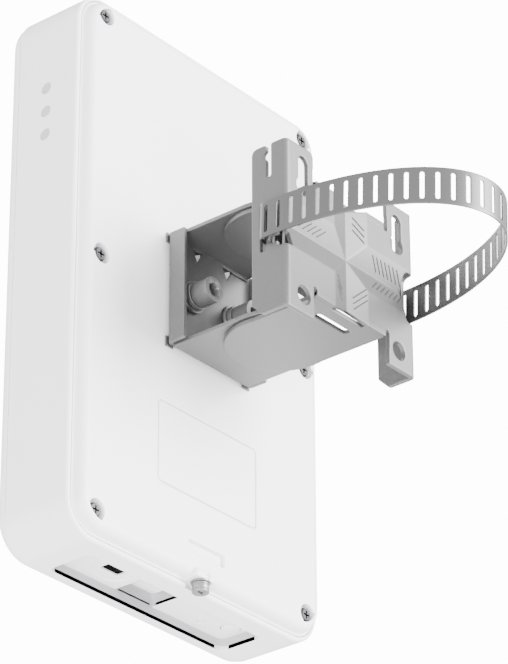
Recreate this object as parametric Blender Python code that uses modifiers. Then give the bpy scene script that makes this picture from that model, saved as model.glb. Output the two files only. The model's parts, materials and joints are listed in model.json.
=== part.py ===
"""Outdoor wireless bridge: a sealed flat-panel radio on a swivelling steel pole and wall bracket.

Frame: the origin is the middle of the pole bracket's V plate, in the plane of its flat pads.
+Y points out of that plane to the pole or wall, +Z is up, and the radio looks along -Y.
"""
import math

import bmesh
import bpy
from mathutils import Matrix, Vector

MM = 0.001
GAP = 0.3 * MM                    # clearance between two pieces that touch
OVER = 2.0 * MM                   # how far a cutter runs past the faces it opens

# Radio: overall sizes
PANEL_WIDTH = 175.4 * MM
PANEL_HEIGHT = 285.8 * MM
PANEL_DEPTH = 50.4 * MM           # flat of the back cover to the front of the radome
PANEL_BACK = -87.0 * MM           # Y of the back cover's flat face
CORNER_RADIUS = 18.0 * MM
WALL = 2.8 * MM

# Radio: radome and housing
RADOME_DEPTH = 7.4 * MM
RADOME_INSET = 0.5 * MM
RADOME_CORNER = 22.0 * MM
RADOME_ROUND = 6.4 * MM
COVER_DROP = 5.6 * MM             # step from the cover's flat down to the housing rim
RIM_WIDTH = 1.8 * MM
RIM_ROUND = 1.4 * MM
COVER_FLANGE = 2.2 * MM
GASKET_THICK = 0.8 * MM
GASKET_WIDTH = 3.4 * MM
LEDGE_THICK = 2.4 * MM
LEDGE_WIDTH = 18.0 * MM

# Radio: back cover
SHOULDER_INSET = 1.6 * MM         # flat ledge between the seam and the cover's rolled shoulder
SHOULDER_ROUND = 5.2 * MM
COVER_WALL = 2.6 * MM
SCREW_INSET_X = 13.9 * MM
SCREW_INSET_Z = 12.7 * MM
SCREW_RECESS_RADIUS = 5.1 * MM
SCREW_RECESS_DEPTH = 3.8 * MM
SCREW_BOSS_WALL = 1.9 * MM
SCREW_HEAD_RADIUS = 3.7 * MM
SCREW_HEAD_HEIGHT = 2.6 * MM
COVER_CROSS_WIDTH = 0.45 * MM
COVER_CROSS_DEPTH = 1.4 * MM
SCREW_SHANK_RADIUS = 1.9 * MM
SCREW_LENGTH = 13.0 * MM
POST_RADIUS = 4.8 * MM
LABEL_WIDTH = 70.0 * MM
LABEL_HEIGHT = 42.0 * MM
LABEL_LIFT = 42.2 * MM            # label's lower edge above the panel's lower edge
LABEL_DEPTH = 0.6 * MM
LABEL_THICK = 0.3 * MM
LABEL_CORNER = 2.5 * MM
LABEL_EASE = 0.2 * MM
LABEL_LAY = 0.1 * MM              # the label lies this far above its recess
NAMEPLATE_WIDTH = 25.4 * MM
NAMEPLATE_HEIGHT = 6.3 * MM
NAMEPLATE_LIFT = 15.4 * MM
NAMEPLATE_DEPTH = 1.2 * MM
NAMEPLATE_CORNER = 1.0 * MM

# Ground terminal on the lower edge
TAB_WIDTH = 13.0 * MM
TAB_X = 1.6 * MM
TAB_HEIGHT = 11.0 * MM
TAB_LIFT = 3.4 * MM               # tab's lower face above the panel's lower face
TAB_PROUD = 2.0 * MM
TAB_DEPTH = 7.4 * MM
TAB_EASE = 0.1 * MM              # extra room round the tab in the housing rim
GROUND_SHANK_RADIUS = 2.0 * MM
GROUND_HEAD_RADIUS = 4.0 * MM
GROUND_HEAD_HEIGHT = 3.3 * MM
GROUND_WASHER_RADIUS = 4.6 * MM
GROUND_WASHER_THICK = 0.8 * MM
GROUND_HOLE_DEPTH = 8.0 * MM
GROUND_HOLE_SPARE = 1.0 * MM
LOCK_WASHER_INSET = 0.5 * MM
GROUND_CROSS_WIDTH = 0.5 * MM
GROUND_CROSS_DEPTH = 1.6 * MM

# Port bay in the lower face
BAY_WIDTH = 120.0 * MM
BAY_BACK = 16.4 * MM              # bay's rear edge, forward of the cover's flat
BAY_FRONT = 42.0 * MM
BAY_DEPTH = 6.3 * MM
BAY_CORNER = 3.5 * MM
BAY_FLOOR = 2.5 * MM
CHANNEL_WIDTH = 25.8 * MM
CHANNEL_X = 2.5 * MM
CHANNEL_DEPTH = 13.0 * MM
PORT_ONE_X = 30.5 * MM
PORT_TWO_X = 1.5 * MM
PORT_Y = 29.8 * MM                # port axis, forward of the cover's flat
PORT_HOLE_RADIUS = 9.8 * MM
BEZEL_THICK = 1.8 * MM
BEZEL_SINK = 1.2 * MM
PLUG_WIDTH = 11.9 * MM
PLUG_HEIGHT = 8.2 * MM
JACK_WIDTH = 15.9 * MM
JACK_HEIGHT = 13.4 * MM
JACK_LENGTH = 16.0 * MM
JACK_POCKET = 12.5 * MM
RESET_X = -36.8 * MM
RESET_Y = 34.8 * MM
RESET_RADIUS = 1.5 * MM
RESET_COLLAR = 2.6 * MM
RESET_COLLAR_THICK = 1.0 * MM
RESET_TRAVEL = 0.8 * MM
RESET_SINK = 0.4 * MM
SWITCH_SIZE = 6.0 * MM
SWITCH_HEIGHT = 4.0 * MM
VENT_X = -52.0 * MM
VENT_Y = 29.0 * MM
VENT_RADIUS = 4.6 * MM
VENT_PROUD = 0.5 * MM

# Status lights in the +X side wall
LIGHT_RADIUS = 2.9 * MM
LIGHT_SINK = 0.7 * MM
LIGHT_Y = 25.5 * MM
LIGHT_TOP = 50.0 * MM             # top light below the panel's upper edge
LIGHT_PITCH = 12.7 * MM
LIGHT_REACH = 15.0 * MM
LIGHT_PIPE_BEND = 3.6 * MM

# Electronics stack, from the radome backwards
BOARD_THICK = 1.4 * MM
ANTENNA_GAP = 1.2 * MM
SPACER_THICK = 1.2 * MM
SPACER_WIDTH = 8.0 * MM
REFLECTOR_THICK = 1.2 * MM
STANDOFF_LENGTH = 1.9 * MM
STANDOFF_RADIUS = 3.0 * MM
STACK_MARGIN = 6.0 * MM
STACK_CORNER = 6.0 * MM
SPACER_CORNER = 3.0 * MM
STANDOFF_INSET = 20.0 * MM
PATCH_SIZE = 34.0 * MM
PATCH_THICK = 0.5 * MM
MAIN_MARGIN_X = 14.0 * MM
MAIN_LIFT = 22.0 * MM             # main board's lower edge above the panel's lower edge
MAIN_HEIGHT = 215.0 * MM
SHIELD_WIDTH = 62.0 * MM
SHIELD_LENGTH = 52.0 * MM
SHIELD_HEIGHT = 4.0 * MM
SHIELD_WALL = 0.8 * MM
SHIELD_Z = 20.0 * MM
SINK_PLATE = 2.0 * MM

# Device bracket: a folded tray screwed to the back cover
TRAY_SIZE = 60.2 * MM
TRAY_SHEET = 2.0 * MM
PAD_PLATE = 0.8 * MM
PAD_EDGE_DEPTH = 2.6 * MM
PAD_CORNER = 5.0 * MM
TRAY_LIP = 10.4 * MM
LIP_RELIEF = 1.2 * MM             # a lip stops short of the flanges
TRAY_FLANGE_RADIUS = 27.0 * MM
PIVOT_REACH = 44.0 * MM           # pivot axis behind the cover's flat
TRAY_SCREW_X = 15.0 * MM
TRAY_SCREW_Z = 0.0 * MM
TRIANGLE_RADIUS = 4.6 * MM
TRIANGLE_EASE = 1.0 * MM
TRIANGLE_X = 10.8 * MM
TRIANGLE_Z = 23.4 * MM
CAP_RADIUS = 4.0 * MM
CAP_HEAD_RADIUS = 6.3 * MM
CAP_HEAD_HEIGHT = 9.2 * MM
CAP_HEAD_EDGE = 0.7 * MM
CAP_SOCKET_RADIUS = 3.4 * MM
CAP_SOCKET_DEPTH = 4.0 * MM
CAP_LENGTH = 16.0 * MM
FLAT_WASHER_RADIUS = 8.0 * MM
FLAT_WASHER_THICK = 1.6 * MM
SPRING_WASHER_RADIUS = 7.0 * MM
SPRING_WASHER_THICK = 2.3 * MM
SPLIT_HALF = 0.5 * MM             # half the gap in the spring washer
INSERT_RADIUS = 5.8 * MM
INSERT_LENGTH = 11.0 * MM
INSERT_BOSS_WALL = 2.4 * MM

# Pole bracket: one folded plate
PLATE_WIDTH = 94.0 * MM
PLATE_SHEET = 2.5 * MM
BEND_RADIUS = 2.6 * MM
FLANGE_DEPTH = 20.5 * MM
EAR_HEIGHT = 43.6 * MM
EAR_INNER = 27.4 * MM
EAR_CHAMFER = 5.0 * MM
FLANGE_CHAMFER = 5.0 * MM
GROOVE_HALF = 12.0 * MM
GROOVE_DEPTH = 3.3 * MM
TONGUE_RADIUS = 25.6 * MM
TONGUE_NOTCH = 4.4 * MM
SLIT_INSET = 1.0 * MM
SLIT_PLAY = 1.2 * MM
FOOT_HOLE_X = 34.6 * MM
FOOT_HOLE_Z = 33.9 * MM
FOOT_HOLE_RADIUS = 4.6 * MM
KEYHOLE_Z = 22.4 * MM
KEYHOLE_RADIUS = 4.8 * MM
KEYHOLE_SLOT_RADIUS = 3.4 * MM
KEYHOLE_TOP = 35.4 * MM
HOOK_SLOT_Y = -10.0 * MM
HOOK_SLOT_WIDTH = 2.7 * MM
HOOK_SLOT_BOTTOM = 26.2 * MM
FOLD_WINDOW_DEPTH = 5.2 * MM
BITE_RADIUS = 3.0 * MM
BITE_SHIFT = 1.0 * MM
BITE_Z = 7.0 * MM
PIN_RADIUS = 3.9 * MM
PIN_HEAD_RADIUS = 7.0 * MM
PIN_HEAD_HEIGHT = 2.0 * MM
PIN_HEAD_EDGE = 0.6 * MM

# Band clamp round the pole
BAND_WIDTH = 19.1 * MM
BAND_THICK = 0.8 * MM
BAND_Y = -13.75 * MM
BAND_TILT = 0.04                  # rise per unit of +X: the band rides slightly askew in its slots
BAND_BEND = 2.9 * MM
BAND_REACH = 81.2 * MM            # far end of the loop, beyond the pads' plane
BAND_SLOT_WIDTH = 1.9 * MM
BAND_SLOT_HEIGHT = 14.2 * MM
BAND_SLOT_PITCH = 6.95 * MM
SLOT_WIDTH = 3.6 * MM
SLOT_PLAY = 0.5 * MM
CLAMP_LENGTH = 22.0 * MM
CLAMP_WALL = 1.6 * MM
WORM_RADIUS = 4.2 * MM
WORM_HEAD_RADIUS = 5.4 * MM
WORM_HEAD_LENGTH = 6.0 * MM
WORM_NOSE = 1.2 * MM
WORM_SLOT_HALF = 0.7 * MM
WORM_SLOT_DEPTH = 2.0 * MM

# Places worked out from the sizes above
HALF_W = PANEL_WIDTH / 2
HALF_H = PANEL_HEIGHT / 2
PIVOT_Y = PANEL_BACK + PIVOT_REACH
PANEL_Z = (TRAY_SHEET + PLATE_SHEET + 2 * GAP) / 2
RIM_Y = PANEL_BACK - COVER_DROP
COVER_SEAT_Y = RIM_Y - COVER_FLANGE
LEDGE_Y = COVER_SEAT_Y - GASKET_THICK - 2 * GAP
FRONT_Y = PANEL_BACK - PANEL_DEPTH
SEAM_Y = FRONT_Y + RADOME_DEPTH
ANTENNA_Y = FRONT_Y + WALL + ANTENNA_GAP + PATCH_THICK
SPACER_Y = ANTENNA_Y + BOARD_THICK + GAP
REFLECTOR_Y = SPACER_Y + SPACER_THICK + GAP
STANDOFF_Y = REFLECTOR_Y + REFLECTOR_THICK + GAP
MAIN_Y = STANDOFF_Y + STANDOFF_LENGTH + GAP
MAIN_TOP_Y = MAIN_Y + BOARD_THICK
COVER_SCREWS = [(sx * (HALF_W - SCREW_INSET_X), PANEL_Z + sz * (HALF_H - SCREW_INSET_Z))
                for sz in (1, 0, -1) for sx in (1, -1)]
TRAY_SCREWS = [(sx * TRAY_SCREW_X, PANEL_Z + TRAY_SCREW_Z) for sx in (1, -1)]
BAY_TOP = PANEL_Z - HALF_H
PLATE_HALF = TRAY_SIZE / 2 + (PLATE_SHEET - TRAY_SHEET) / 2
TRAY_BASE_Y = PANEL_BACK + 2 * GAP + PAD_PLATE
CAP_SEAT_Y = TRAY_BASE_Y + TRAY_SHEET + FLAT_WASHER_THICK + SPRING_WASHER_THICK + 3 * GAP
HALF_PLATE_W = PLATE_WIDTH / 2
TILT = math.atan(BAND_TILT)

materials = {}
parts = bpy.data.collections.new("outdoor_wireless_bridge")
tools = bpy.data.collections.new("cutters")


# ---------------------------------------------------------------- helpers

def clear_scene():
    """Empty the scene and link this part's two collections."""
    for old in list(bpy.data.objects):
        bpy.data.objects.remove(old, do_unlink=True)
    bpy.context.scene.collection.children.link(parts)
    bpy.context.scene.collection.children.link(tools)


def finish_material(name, colour, roughness, metallic=0.0):
    """One Principled material per finish."""
    mat = bpy.data.materials.new(name)
    mat.use_nodes = True
    shader = mat.node_tree.nodes["Principled BSDF"]
    shader.inputs["Base Color"].default_value = (*colour, 1.0)
    shader.inputs["Roughness"].default_value = roughness
    shader.inputs["Metallic"].default_value = metallic
    mat.diffuse_color = (*colour, 1.0)
    materials[name] = mat


def make_materials():
    finish_material("white_plastic", (0.86, 0.86, 0.87), 0.45)
    finish_material("label_film", (0.88, 0.88, 0.89), 0.35)
    finish_material("grey_powder_coat", (0.55, 0.55, 0.56), 0.5, 0.3)
    finish_material("stainless_band", (0.62, 0.62, 0.62), 0.35, 1.0)
    finish_material("zinc_steel", (0.6, 0.6, 0.6), 0.3, 1.0)
    finish_material("dark_steel", (0.25, 0.25, 0.25), 0.4, 1.0)
    finish_material("brass", (0.7, 0.55, 0.28), 0.35, 1.0)
    finish_material("black_rubber", (0.03, 0.03, 0.03), 0.8)
    finish_material("circuit_board", (0.03, 0.2, 0.08), 0.5)
    finish_material("copper_patch", (0.75, 0.4, 0.25), 0.35, 1.0)
    finish_material("aluminium", (0.7, 0.7, 0.72), 0.4, 1.0)
    finish_material("black_plastic", (0.03, 0.03, 0.035), 0.5)
    finish_material("grey_lens", (0.45, 0.45, 0.47), 0.25)


def to_object(name, bm, mat=None, location=(0, 0, 0), collection=None):
    """Turn a bmesh into an object; without a material it is a cutter."""
    mesh = bpy.data.meshes.new(name)
    bmesh.ops.recalc_face_normals(bm, faces=bm.faces)
    bm.to_mesh(mesh)
    bm.free()
    obj = bpy.data.objects.new(name, mesh)
    obj.location = location
    if mat is None:
        tools.objects.link(obj)
        obj.hide_render = True
        obj.display_type = "WIRE"
    else:
        (collection or parts).objects.link(obj)
        mesh.materials.append(materials[mat])
        mesh.shade_smooth()
        mesh.set_sharp_from_angle(angle=math.radians(35))
    return obj


def box(name, low, high, mat=None):
    """A block between two corners."""
    low, high = Vector(low), Vector(high)
    bm = bmesh.new()
    bmesh.ops.create_cube(bm, size=1.0)
    bmesh.ops.scale(bm, vec=high - low, verts=bm.verts)
    return to_object(name, bm, mat, (low + high) / 2)


def slab(name, half_x, half_z, y_low, y_high, radius, mat=None, centre=(0.0, 0.0), segments=6,
         round_end=None, end_radius=0.0, end_segments=4):
    """A block in the XZ plane with rounded corners; one end's edge may be rounded as well."""
    bm = bmesh.new()
    bmesh.ops.create_cube(bm, size=1.0)
    bmesh.ops.scale(bm, vec=(2 * half_x, y_high - y_low, 2 * half_z), verts=bm.verts)
    if radius > 0:
        upright = [e for e in bm.edges if abs(e.verts[0].co.y - e.verts[1].co.y) > (y_high - y_low) / 2]
        bmesh.ops.bevel(bm, geom=upright, offset=radius, segments=segments, profile=0.5,
                        affect="EDGES")
    if round_end is not None:
        y_end = round_end * (y_high - y_low) / 2
        loop = [e for e in bm.edges if all(abs(v.co.y - y_end) < 1e-6 for v in e.verts)]
        bmesh.ops.bevel(bm, geom=loop, offset=end_radius, segments=end_segments, profile=0.5,
                        affect="EDGES")
    return to_object(name, bm, mat, (centre[0], (y_low + y_high) / 2, centre[1]))


def cylinder(name, radius, start, axis, length, mat=None, sides=24, top_radius=None):
    """A cylinder or cone from start along axis ('X', 'Y' or 'Z')."""
    bm = bmesh.new()
    bmesh.ops.create_cone(bm, cap_ends=True, segments=sides, radius1=radius,
                          radius2=radius if top_radius is None else top_radius, depth=length)
    turn = {"X": Matrix.Rotation(math.pi / 2, 4, "Y"), "Y": Matrix.Rotation(-math.pi / 2, 4, "X"),
            "Z": Matrix.Identity(4)}[axis]
    bmesh.ops.transform(bm, matrix=turn, verts=bm.verts)
    step = {"X": Vector((1, 0, 0)), "Y": Vector((0, 1, 0)), "Z": Vector((0, 0, 1))}[axis]
    return to_object(name, bm, mat, Vector(start) + step * length / 2)


def boolean(target, tool, operation="DIFFERENCE"):
    """Cut or join with the exact solver."""
    mod = target.modifiers.new(operation.lower(), "BOOLEAN")
    mod.operation = operation
    mod.solver = "EXACT"
    mod.object = tool
    return target


def turned(name, profile, centre, axis, mat, sides=24):
    """A turned solid: (radius, height) points, top to bottom on the outer side, on the screw modifier."""
    bm = bmesh.new()
    verts = [bm.verts.new((radius, 0, height)) for radius, height in profile]
    for a, b in zip(verts, verts[1:]):
        bm.edges.new((a, b))
    mesh = bpy.data.meshes.new(name)
    bm.to_mesh(mesh)
    bm.free()
    obj = bpy.data.objects.new(name, mesh)
    parts.objects.link(obj)
    mesh.materials.append(materials[mat])
    obj.location = centre
    if axis == "Y":
        obj.rotation_euler = (-math.pi / 2, 0, 0)
    elif axis == "X":
        obj.rotation_euler = (0, math.pi / 2, 0)
    elif axis == "-Z":
        obj.rotation_euler = (math.pi, 0, 0)
    screw = obj.modifiers.new("turn", "SCREW")
    screw.axis = "Z"
    screw.angle = 2 * math.pi
    screw.steps = sides
    screw.render_steps = sides
    screw.use_merge_vertices = True
    screw.merge_threshold = 0.00001
    screw.use_smooth_shade = True
    return obj


def cross_slot(target, centre, axis, reach, width, depth):
    """Cut a cross recess into a screw head; centre lies on the head's end face."""
    x, y, z = centre
    for k, (a, b) in enumerate(((reach, width), (width, reach))):
        if axis == "Y":
            low, high = (x - a, y - depth, z - b), (x + a, y + OVER, z + b)
        else:
            low, high = (x - a, y - b, z - OVER), (x + a, y + b, z + depth)
        boolean(target, box(f"{target.name}_cross_{k}", low, high))


# ---------------------------------------------------------------- radio shells

def make_radome():
    """Front shell: a shallow rounded dish, open at the back."""
    shell = slab("radome_cover", HALF_W - RADOME_INSET, HALF_H - RADOME_INSET, FRONT_Y, SEAM_Y - GAP,
                 RADOME_CORNER, "white_plastic", (0, PANEL_Z), round_end=-1, end_radius=RADOME_ROUND)
    inset = RADOME_INSET + WALL
    hollow = slab("radome_hollow", HALF_W - inset, HALF_H - inset, FRONT_Y + WALL, SEAM_Y + OVER,
                  RADOME_CORNER - WALL, None, (0, PANEL_Z), round_end=-1,
                  end_radius=RADOME_ROUND - WALL, end_segments=3)
    boolean(shell, hollow)


def make_housing():
    """Middle shell: side walls, the ledge and posts for the cover screws, and the port bay."""
    shell = slab("housing", HALF_W, HALF_H, SEAM_Y, RIM_Y, CORNER_RADIUS, "white_plastic",
                 (0, PANEL_Z), round_end=1, end_radius=RIM_ROUND, end_segments=2)
    ledge_front = LEDGE_Y - LEDGE_THICK
    boolean(shell, slab("housing_hollow", HALF_W - WALL, HALF_H - WALL, SEAM_Y - OVER, ledge_front,
                        CORNER_RADIUS - WALL, None, (0, PANEL_Z)))
    boolean(shell, slab("cover_seat", HALF_W - RIM_WIDTH, HALF_H - RIM_WIDTH, LEDGE_Y, RIM_Y + OVER,
                        CORNER_RADIUS - RIM_WIDTH, None, (0, PANEL_Z)))
    boolean(shell, slab("ledge_window", HALF_W - RIM_WIDTH - LEDGE_WIDTH,
                        HALF_H - RIM_WIDTH - LEDGE_WIDTH, ledge_front - OVER, LEDGE_Y + OVER,
                        CORNER_RADIUS / 3, None, (0, PANEL_Z), segments=3))
    for k, (x, z) in enumerate(COVER_SCREWS):
        post = cylinder(f"post_{k}", POST_RADIUS, (x, STANDOFF_Y, z), "Y", LEDGE_Y - GAP - STANDOFF_Y,
                        sides=16)
        boolean(shell, post, "UNION")
    add_bay(shell)
    for k, (x, z) in enumerate(COVER_SCREWS):
        pilot = cylinder(f"pilot_{k}", SCREW_SHANK_RADIUS + GAP,
                         (x, PANEL_BACK - SCREW_RECESS_DEPTH - SCREW_LENGTH - GAP, z), "Y",
                         SCREW_LENGTH + OVER, sides=16)
        boolean(shell, pilot)
    for k in range(3):
        z = PANEL_Z + HALF_H - LIGHT_TOP - k * LIGHT_PITCH
        hole = cylinder(f"light_hole_{k}", LIGHT_RADIUS + GAP,
                        (HALF_W - WALL - OVER, PANEL_BACK - LIGHT_Y, z), "X", WALL + 2 * OVER)
        boolean(shell, hole)
    clear = GAP + TAB_EASE
    boolean(shell, box("tab_clearance",
                       (TAB_X - TAB_WIDTH / 2 - clear, PANEL_BACK + TAB_PROUD - TAB_DEPTH - clear,
                        BAY_TOP - OVER),
                       (TAB_X + TAB_WIDTH / 2 + clear, PANEL_BACK + OVER,
                        BAY_TOP + TAB_LIFT + TAB_HEIGHT)))
    boolean(shell, terminal_clearance("terminal_clearance_housing"))


def terminal_clearance(name):
    """Round room for the ground washers below the tab."""
    return cylinder(name, GROUND_WASHER_RADIUS + 2 * GAP, (TAB_X, ground_axis_y(), BAY_TOP - OVER), "Z",
                    OVER + TAB_LIFT, sides=32)


def add_bay(shell):
    """The recess in the lower wall that the ports open into, with its deeper middle channel."""
    back, front = PANEL_BACK - BAY_BACK, PANEL_BACK - BAY_FRONT
    inner_back, inner_front = back + BAY_FLOOR, max(front - BAY_FLOOR, SEAM_Y + GAP)
    recesses = (("bay", 0, BAY_WIDTH / 2, BAY_DEPTH),
                ("channel", CHANNEL_X, CHANNEL_WIDTH / 2, CHANNEL_DEPTH))
    for name, x, half, depth in recesses:
        block = box(f"{name}_block", (x - half - BAY_FLOOR, inner_front, BAY_TOP + WALL / 2),
                    (x + half + BAY_FLOOR, inner_back, BAY_TOP + depth + BAY_FLOOR))
        boolean(shell, block, "UNION")
    for name, x, half, depth in recesses:
        bm = bmesh.new()
        bmesh.ops.create_cube(bm, size=1.0)
        height = depth + OVER
        bmesh.ops.scale(bm, vec=(2 * half, back - front, height), verts=bm.verts)
        upright = [e for e in bm.edges if abs(e.verts[0].co.z - e.verts[1].co.z) > height / 2]
        bmesh.ops.bevel(bm, geom=upright, offset=BAY_CORNER, segments=3, profile=0.5, affect="EDGES")
        recess = to_object(f"{name}_recess", bm, None,
                           (x, (back + front) / 2, BAY_TOP + depth - height / 2))
        boolean(shell, recess)
    y_port = PANEL_BACK - PORT_Y
    for name, x, depth in (("one", PORT_ONE_X, BAY_DEPTH), ("two", PORT_TWO_X, CHANNEL_DEPTH)):
        boolean(shell, cylinder(f"port_hole_{name}", PORT_HOLE_RADIUS, (x, y_port, BAY_TOP), "Z",
                                depth + BAY_FLOOR + OVER, sides=32))
    boolean(shell, cylinder("reset_hole", RESET_RADIUS + GAP, (RESET_X, PANEL_BACK - RESET_Y, BAY_TOP),
                            "Z", BAY_DEPTH + BAY_FLOOR + OVER, sides=16))
    boolean(shell, cylinder("vent_hole", VENT_RADIUS - BEZEL_THICK + GAP,
                            (VENT_X, PANEL_BACK - VENT_Y, BAY_TOP), "Z",
                            BAY_DEPTH + BAY_FLOOR + OVER))


def make_back_cover():
    """Back plate with a rolled shoulder, screw recesses, insert bosses and the ground tab."""
    edge = RIM_WIDTH + GAP
    step = edge + SHOULDER_INSET
    cover = slab("back_cover", HALF_W - edge, HALF_H - edge, COVER_SEAT_Y, RIM_Y,
                 CORNER_RADIUS - edge, "white_plastic", (0, PANEL_Z))
    boolean(cover, slab("cover_crown", HALF_W - step, HALF_H - step, COVER_SEAT_Y + COVER_FLANGE / 2,
                        PANEL_BACK, CORNER_RADIUS - step, None, (0, PANEL_Z), round_end=1,
                        end_radius=SHOULDER_ROUND, end_segments=5), "UNION")
    tab_top = BAY_TOP + TAB_LIFT + TAB_HEIGHT
    tab = box("ground_tab", (TAB_X - TAB_WIDTH / 2, PANEL_BACK + TAB_PROUD - TAB_DEPTH, BAY_TOP + TAB_LIFT),
              (TAB_X + TAB_WIDTH / 2, PANEL_BACK + TAB_PROUD, tab_top))
    boolean(cover, slab("cover_hollow", HALF_W - step - COVER_WALL, HALF_H - step - COVER_WALL,
                        COVER_SEAT_Y - OVER, PANEL_BACK - COVER_WALL,
                        CORNER_RADIUS - step - COVER_WALL, None, (0, PANEL_Z)))
    boolean(cover, tab, "UNION")
    for k, (x, z) in enumerate(COVER_SCREWS):
        boss = cylinder(f"cover_boss_{k}", SCREW_RECESS_RADIUS + SCREW_BOSS_WALL,
                        (x, COVER_SEAT_Y, z), "Y", PANEL_BACK - COVER_WALL / 2 - COVER_SEAT_Y)
        boolean(cover, boss, "UNION")
    for k, (x, z) in enumerate(COVER_SCREWS):
        boolean(cover, cylinder(f"screw_recess_{k}", SCREW_RECESS_RADIUS,
                                (x, PANEL_BACK - SCREW_RECESS_DEPTH, z), "Y",
                                SCREW_RECESS_DEPTH + OVER))
        boolean(cover, cylinder(f"screw_hole_{k}", SCREW_SHANK_RADIUS + GAP,
                                (x, COVER_SEAT_Y - OVER, z), "Y", COVER_DROP + 2 * OVER, sides=16))
    for k, (x, z) in enumerate(TRAY_SCREWS):
        boss_radius = INSERT_RADIUS + GAP + INSERT_BOSS_WALL
        boolean(cover, cylinder(f"insert_boss_{k}", boss_radius,
                                (x, PANEL_BACK - INSERT_LENGTH - 2 * GAP, z), "Y",
                                INSERT_LENGTH + GAP), "UNION")
    for k, (x, z) in enumerate(TRAY_SCREWS):
        boolean(cover, cylinder(f"insert_bore_{k}", INSERT_RADIUS + GAP,
                                (x, PANEL_BACK - INSERT_LENGTH - OVER, z), "Y",
                                INSERT_LENGTH + 2 * OVER))
    z_label = BAY_TOP + LABEL_LIFT + LABEL_HEIGHT / 2
    boolean(cover, slab("label_recess", LABEL_WIDTH / 2, LABEL_HEIGHT / 2, PANEL_BACK - LABEL_DEPTH,
                        PANEL_BACK + OVER, LABEL_CORNER, None, (0, z_label), segments=3))
    z_name = BAY_TOP + NAMEPLATE_LIFT + NAMEPLATE_HEIGHT / 2
    boolean(cover, slab("small_recess", NAMEPLATE_WIDTH / 2, NAMEPLATE_HEIGHT / 2,
                        PANEL_BACK - NAMEPLATE_DEPTH, PANEL_BACK + OVER, NAMEPLATE_CORNER, None, (0, z_name),
                        segments=2))
    boolean(cover, cylinder("ground_hole", GROUND_SHANK_RADIUS + GAP,
                            (TAB_X, ground_axis_y(), BAY_TOP + TAB_LIFT - OVER), "Z",
                            GROUND_HOLE_DEPTH + OVER, sides=16))
    boolean(cover, terminal_clearance("terminal_clearance_cover"))
    slab("label", LABEL_WIDTH / 2 - GAP, LABEL_HEIGHT / 2 - GAP, PANEL_BACK - LABEL_DEPTH + LABEL_LAY,
         PANEL_BACK - LABEL_DEPTH + LABEL_LAY + LABEL_THICK, LABEL_CORNER - LABEL_EASE,
         "label_film", (0, z_label),
         segments=3)


def ground_axis_y():
    return PANEL_BACK + TAB_PROUD - TAB_DEPTH / 2


def make_gasket():
    """Flat ring squeezed between the cover's flange and the housing ledge."""
    edge = RIM_WIDTH + 2 * GAP
    y_low = LEDGE_Y + GAP
    ring = slab("cover_gasket", HALF_W - edge, HALF_H - edge, y_low, y_low + GASKET_THICK,
                CORNER_RADIUS - edge, "black_rubber", (0, PANEL_Z))
    inner = edge + GASKET_WIDTH
    boolean(ring, slab("gasket_window", HALF_W - inner, HALF_H - inner, y_low - OVER,
                       y_low + GASKET_THICK + OVER, CORNER_RADIUS - inner, None, (0, PANEL_Z)))


def make_cover_screws():
    """Six pan-head screws that hold the back cover."""
    seat = PANEL_BACK - SCREW_RECESS_DEPTH + GAP
    profile = [(0, SCREW_HEAD_HEIGHT), (SCREW_HEAD_RADIUS * 0.75, SCREW_HEAD_HEIGHT),
               (SCREW_HEAD_RADIUS, SCREW_HEAD_HEIGHT * 0.6), (SCREW_HEAD_RADIUS, 0),
               (SCREW_SHANK_RADIUS, 0), (SCREW_SHANK_RADIUS, -SCREW_LENGTH + GAP),
               (0, -SCREW_LENGTH + GAP)]
    for k, (x, z) in enumerate(COVER_SCREWS):
        screw = turned(f"cover_screw_{k + 1}", profile, (x, seat, z), "Y", "dark_steel", 16)
        cross_slot(screw, (x, seat + SCREW_HEAD_HEIGHT, z), "Y", SCREW_HEAD_RADIUS * 0.55,
                   COVER_CROSS_WIDTH, COVER_CROSS_DEPTH)


# ---------------------------------------------------------------- ground terminal

def make_ground_terminal():
    """Screw, lock washer and flat washer under the ground tab, pointing down."""
    x, y = TAB_X, ground_axis_y()
    z = BAY_TOP + TAB_LIFT - GAP
    for name in ("ground_flat_washer", "ground_lock_washer"):
        radius = GROUND_WASHER_RADIUS - (LOCK_WASHER_INSET if "lock" in name else 0)
        washer = cylinder(name, radius, (x, y, z - GROUND_WASHER_THICK), "Z", GROUND_WASHER_THICK,
                          "zinc_steel")
        boolean(washer, cylinder(f"{name}_hole", GROUND_SHANK_RADIUS + GAP,
                                 (x, y, z - GROUND_WASHER_THICK - OVER), "Z",
                                 GROUND_WASHER_THICK + 2 * OVER, sides=16))
        z -= GROUND_WASHER_THICK + GAP
    shank = GROUND_HOLE_DEPTH - GROUND_HOLE_SPARE + 2 * (GROUND_WASHER_THICK + GAP)
    profile = [(0, GROUND_HEAD_HEIGHT), (GROUND_HEAD_RADIUS * 0.8, GROUND_HEAD_HEIGHT),
               (GROUND_HEAD_RADIUS, GROUND_HEAD_HEIGHT * 0.75), (GROUND_HEAD_RADIUS, 0),
               (GROUND_SHANK_RADIUS, 0), (GROUND_SHANK_RADIUS, -shank), (0, -shank)]
    screw = turned("ground_screw", profile, (x, y, z), "-Z", "zinc_steel")
    cross_slot(screw, (x, y, z - GROUND_HEAD_HEIGHT), "Z", GROUND_HEAD_RADIUS * 0.6,
               GROUND_CROSS_WIDTH, GROUND_CROSS_DEPTH)


# ---------------------------------------------------------------- ports, button, vent, lights

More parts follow.
